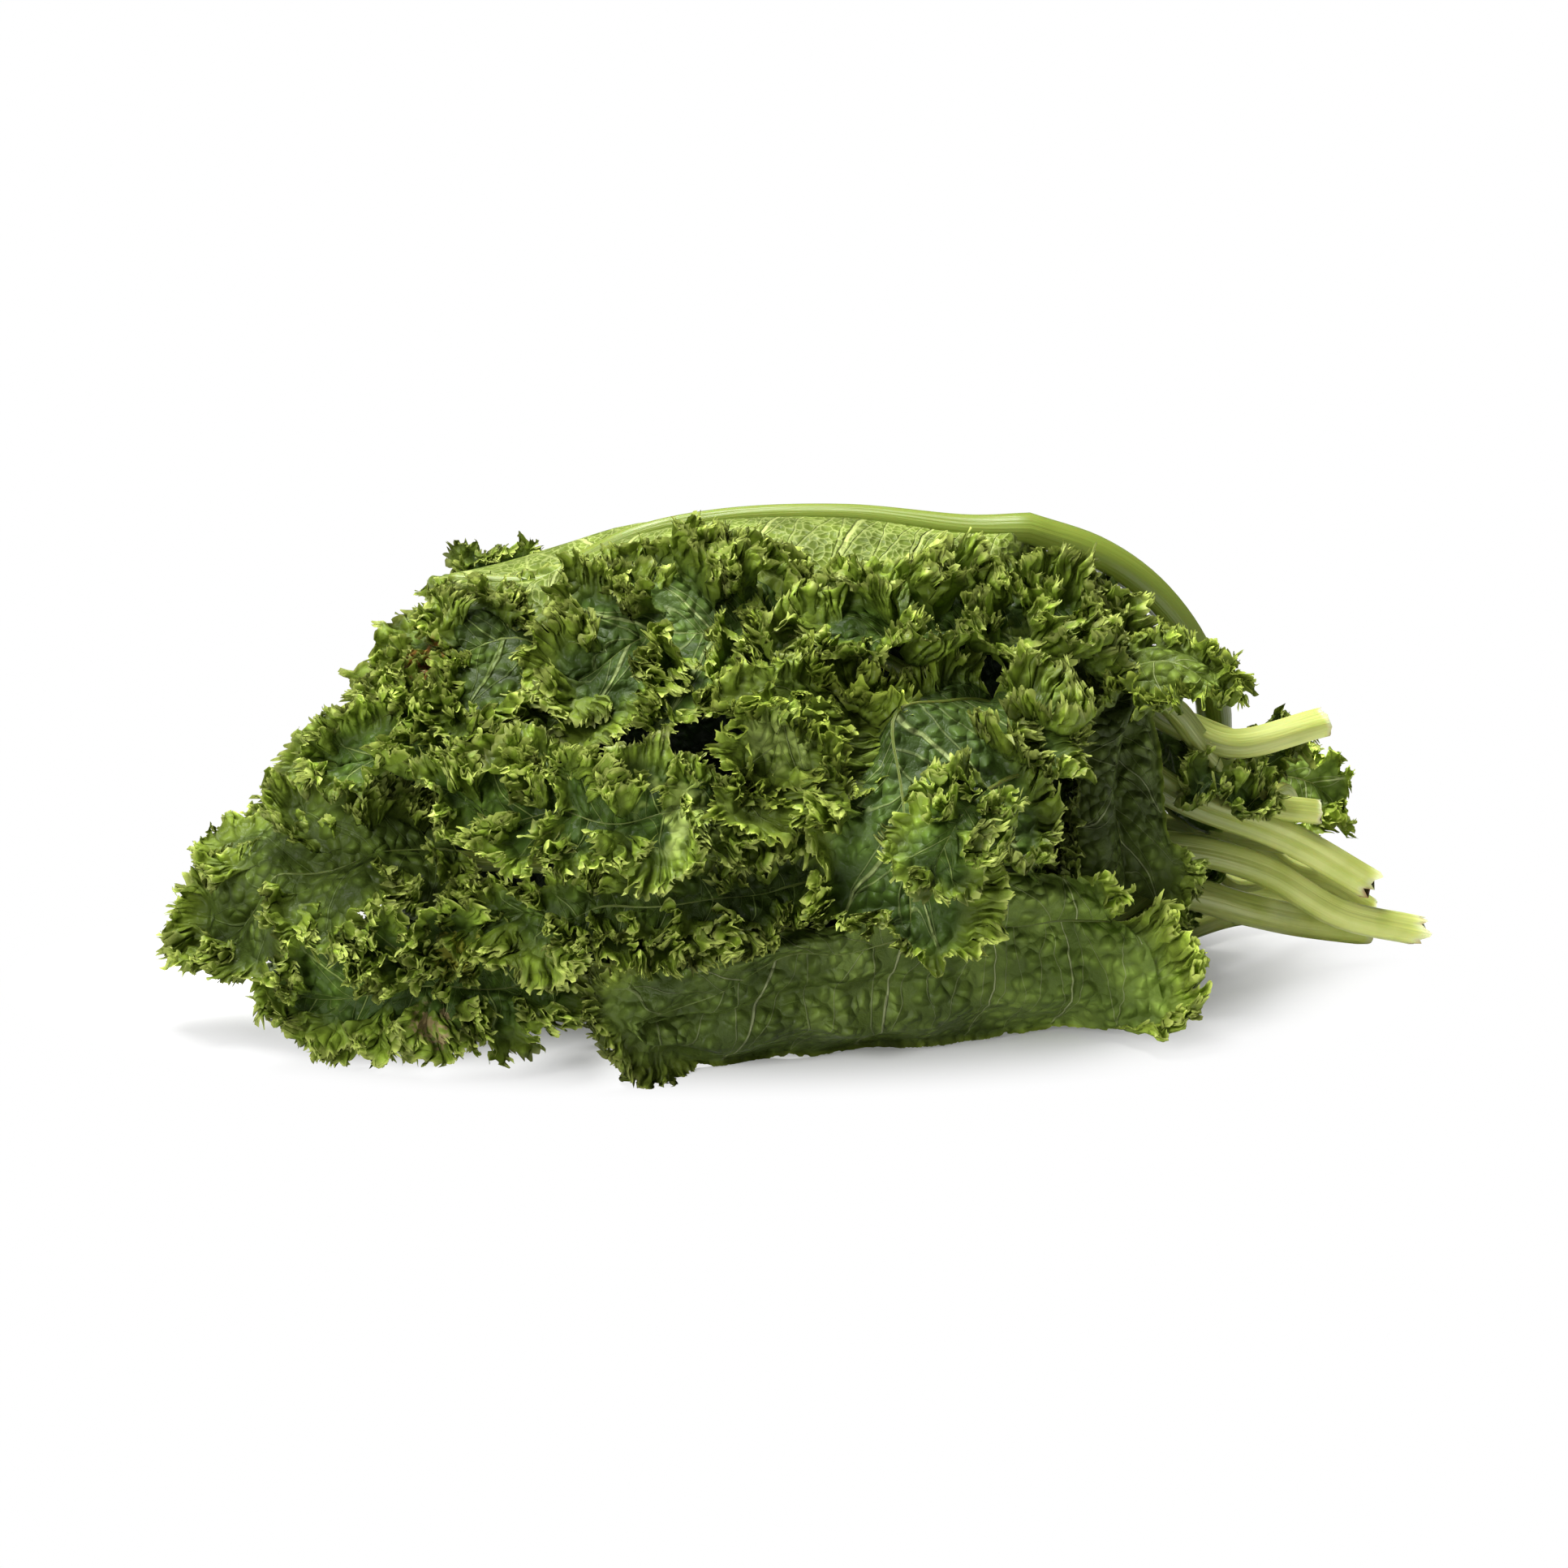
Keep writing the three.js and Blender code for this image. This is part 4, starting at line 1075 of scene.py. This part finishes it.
def add_world():
    world = bpy.data.worlds.new("studio")
    bpy.context.scene.world = world
    world.use_nodes = True
    tree = world.node_tree
    soft = tree.nodes["Background"]
    soft.inputs["Color"].default_value = WHITE
    soft.inputs["Strength"].default_value = WORLD_STRENGTH
    seen = tree.nodes.new("ShaderNodeBackground")
    seen.inputs["Color"].default_value = WHITE
    path = tree.nodes.new("ShaderNodeLightPath")
    both = tree.nodes.new("ShaderNodeMixShader")
    tree.links.new(path.outputs["Is Camera Ray"], both.inputs[0])
    tree.links.new(soft.outputs[0], both.inputs[1])
    tree.links.new(seen.outputs[0], both.inputs[2])
    tree.links.new(both.outputs[0], tree.nodes["World Output"].inputs["Surface"])


# ---------- making it ----------

add_camera()
add_world()
add_floor()
add_softbox("top_softbox", (-0.25, 0.1, 1.3), (0, 0, 0.05), 0.8, 33.0)
add_softbox("front_softbox", (-0.9, -1.3, 0.9), (0, 0, 0.05), 0.7, 20.0)

# The leaf looks are lighter and darker copies of one green: partly the leaves' own differences, partly
# painted light and shade for where each leaf lies.
CURLY = leaf_material(
    "curly_green", (0.042, 0.072, 0.010), (0.080, 0.130, 0.016), (0.170, 0.240, 0.023),
    (0.400, 0.465, 0.100), (0.200, 0.270, 0.070),
)
DARK = leaf_material(
    "dark_green", (0.052, 0.088, 0.015), (0.092, 0.150, 0.024), (0.110, 0.175, 0.025),
    (0.230, 0.310, 0.055), (0.260, 0.340, 0.105),
)
# Painted shade: a near-black green on the hidden core leaves, standing for the dark inside the bunch.
SHADE_FILL = leaf_material(
    "painted_shade_green", (0.006, 0.013, 0.003), (0.012, 0.024, 0.005), (0.030, 0.050, 0.008),
    (0.080, 0.120, 0.018), (0.020, 0.036, 0.009),
)
BRIGHT = leaf_material(
    "bright_green", (0.050, 0.095, 0.013), (0.090, 0.155, 0.020), (0.205, 0.290, 0.030),
    (0.410, 0.480, 0.105), (0.280, 0.370, 0.095),
)
PALE = leaf_material(
    "pale_green", (0.150, 0.210, 0.028), (0.200, 0.270, 0.036), (0.200, 0.275, 0.028),
    (0.400, 0.475, 0.090), (0.480, 0.560, 0.170), 1.2, RIDGES,
)
STALK = stalk_material(
    "stalk_green", (0.120, 0.155, 0.020), (0.500, 0.570, 0.115), (0.620, 0.670, 0.190),
    (0.700, 0.740, 0.280),
)
ARCH_RIB = stalk_material(
    "arch_rib_green", (0.185, 0.245, 0.028), (0.175, 0.235, 0.028), (0.210, 0.265, 0.035),
    (0.300, 0.350, 0.060),
)
TIP = leaf_material(
    "tip_green", (0.062, 0.096, 0.014), (0.100, 0.148, 0.020), (0.180, 0.250, 0.025),
    (0.410, 0.480, 0.105), (0.160, 0.220, 0.060),
)
LIGHT = leaf_material(
    "light_green", (0.105, 0.155, 0.020), (0.150, 0.212, 0.028), (0.180, 0.250, 0.026),
    (0.370, 0.450, 0.070), (0.330, 0.400, 0.130), 0.28,
)
# The front and side leaves carry painted shade at their left and painted light at their right, by the sweep
# along x.
FRONT = leaf_material(
    "front_green", (0.140, 0.210, 0.034), (0.220, 0.310, 0.056), (0.225, 0.300, 0.036),
    (0.410, 0.475, 0.105), (0.540, 0.610, 0.280), 0.5, VALLEYS, (0.02, 0.12, 0.68, 1.6),
)
SIDE = leaf_material(
    "side_green", (0.085, 0.125, 0.022), (0.135, 0.190, 0.036), (0.180, 0.245, 0.032),
    (0.300, 0.360, 0.080), (0.400, 0.460, 0.210), 0.5, VALLEYS, (0.08, 0.13, 0.6, 1.3),
)
CENTRE = leaf_material(
    "centre_green", (0.060, 0.108, 0.016), (0.105, 0.175, 0.030), (0.205, 0.285, 0.028),
    (0.410, 0.480, 0.105), (0.330, 0.410, 0.140), 0.8,
)

SLOT_LOOKS = {"curly_leaf": CURLY, "dark_leaf": DARK, "bright_leaf": BRIGHT, "pale_underside": PALE}
# Many of these swap in a lighter or darker copy as painted light or shade for where the leaf lies.
OWN_LOOKS = {  # leaves that do not look as their slot says
    "core_leaf": SHADE_FILL, "core_low_leaf": SHADE_FILL, "left_tip_leaf": TIP, "ruffle_leaf": BRIGHT,
    "mid_leaf": LIGHT, "upper_right_leaf": LIGHT, "stem_back_leaf": FRONT, "stem_curl_leaf": BRIGHT,
    "stem_tuft_leaf": CURLY, "front_dark_leaf": FRONT, "side_dark_leaf": SIDE,
    "inner_curl_leaf": BRIGHT, "upper_mid_leaf": BRIGHT, "centre_top_leaf": CENTRE,
    "bottom_left_leaf": BRIGHT, "centre_leaf": CENTRE, "top_left_leaflet": BRIGHT,
}

slot_of = {entry["node"]: entry["material_slot"] for entry in frame["record"]["subparts"]}
for leaf in LEAVES:
    slot = slot_of[leaf["name"]]
    look = OWN_LOOKS.get(leaf["name"], SLOT_LOOKS[slot])
    piece = make_leaf(leaf, [look, ARCH_RIB if leaf["name"] == "arch_leaf" else STALK])
    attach(piece, "root")
    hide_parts(leaf["name"])

bpy.context.scene.view_settings.view_transform = "Standard"
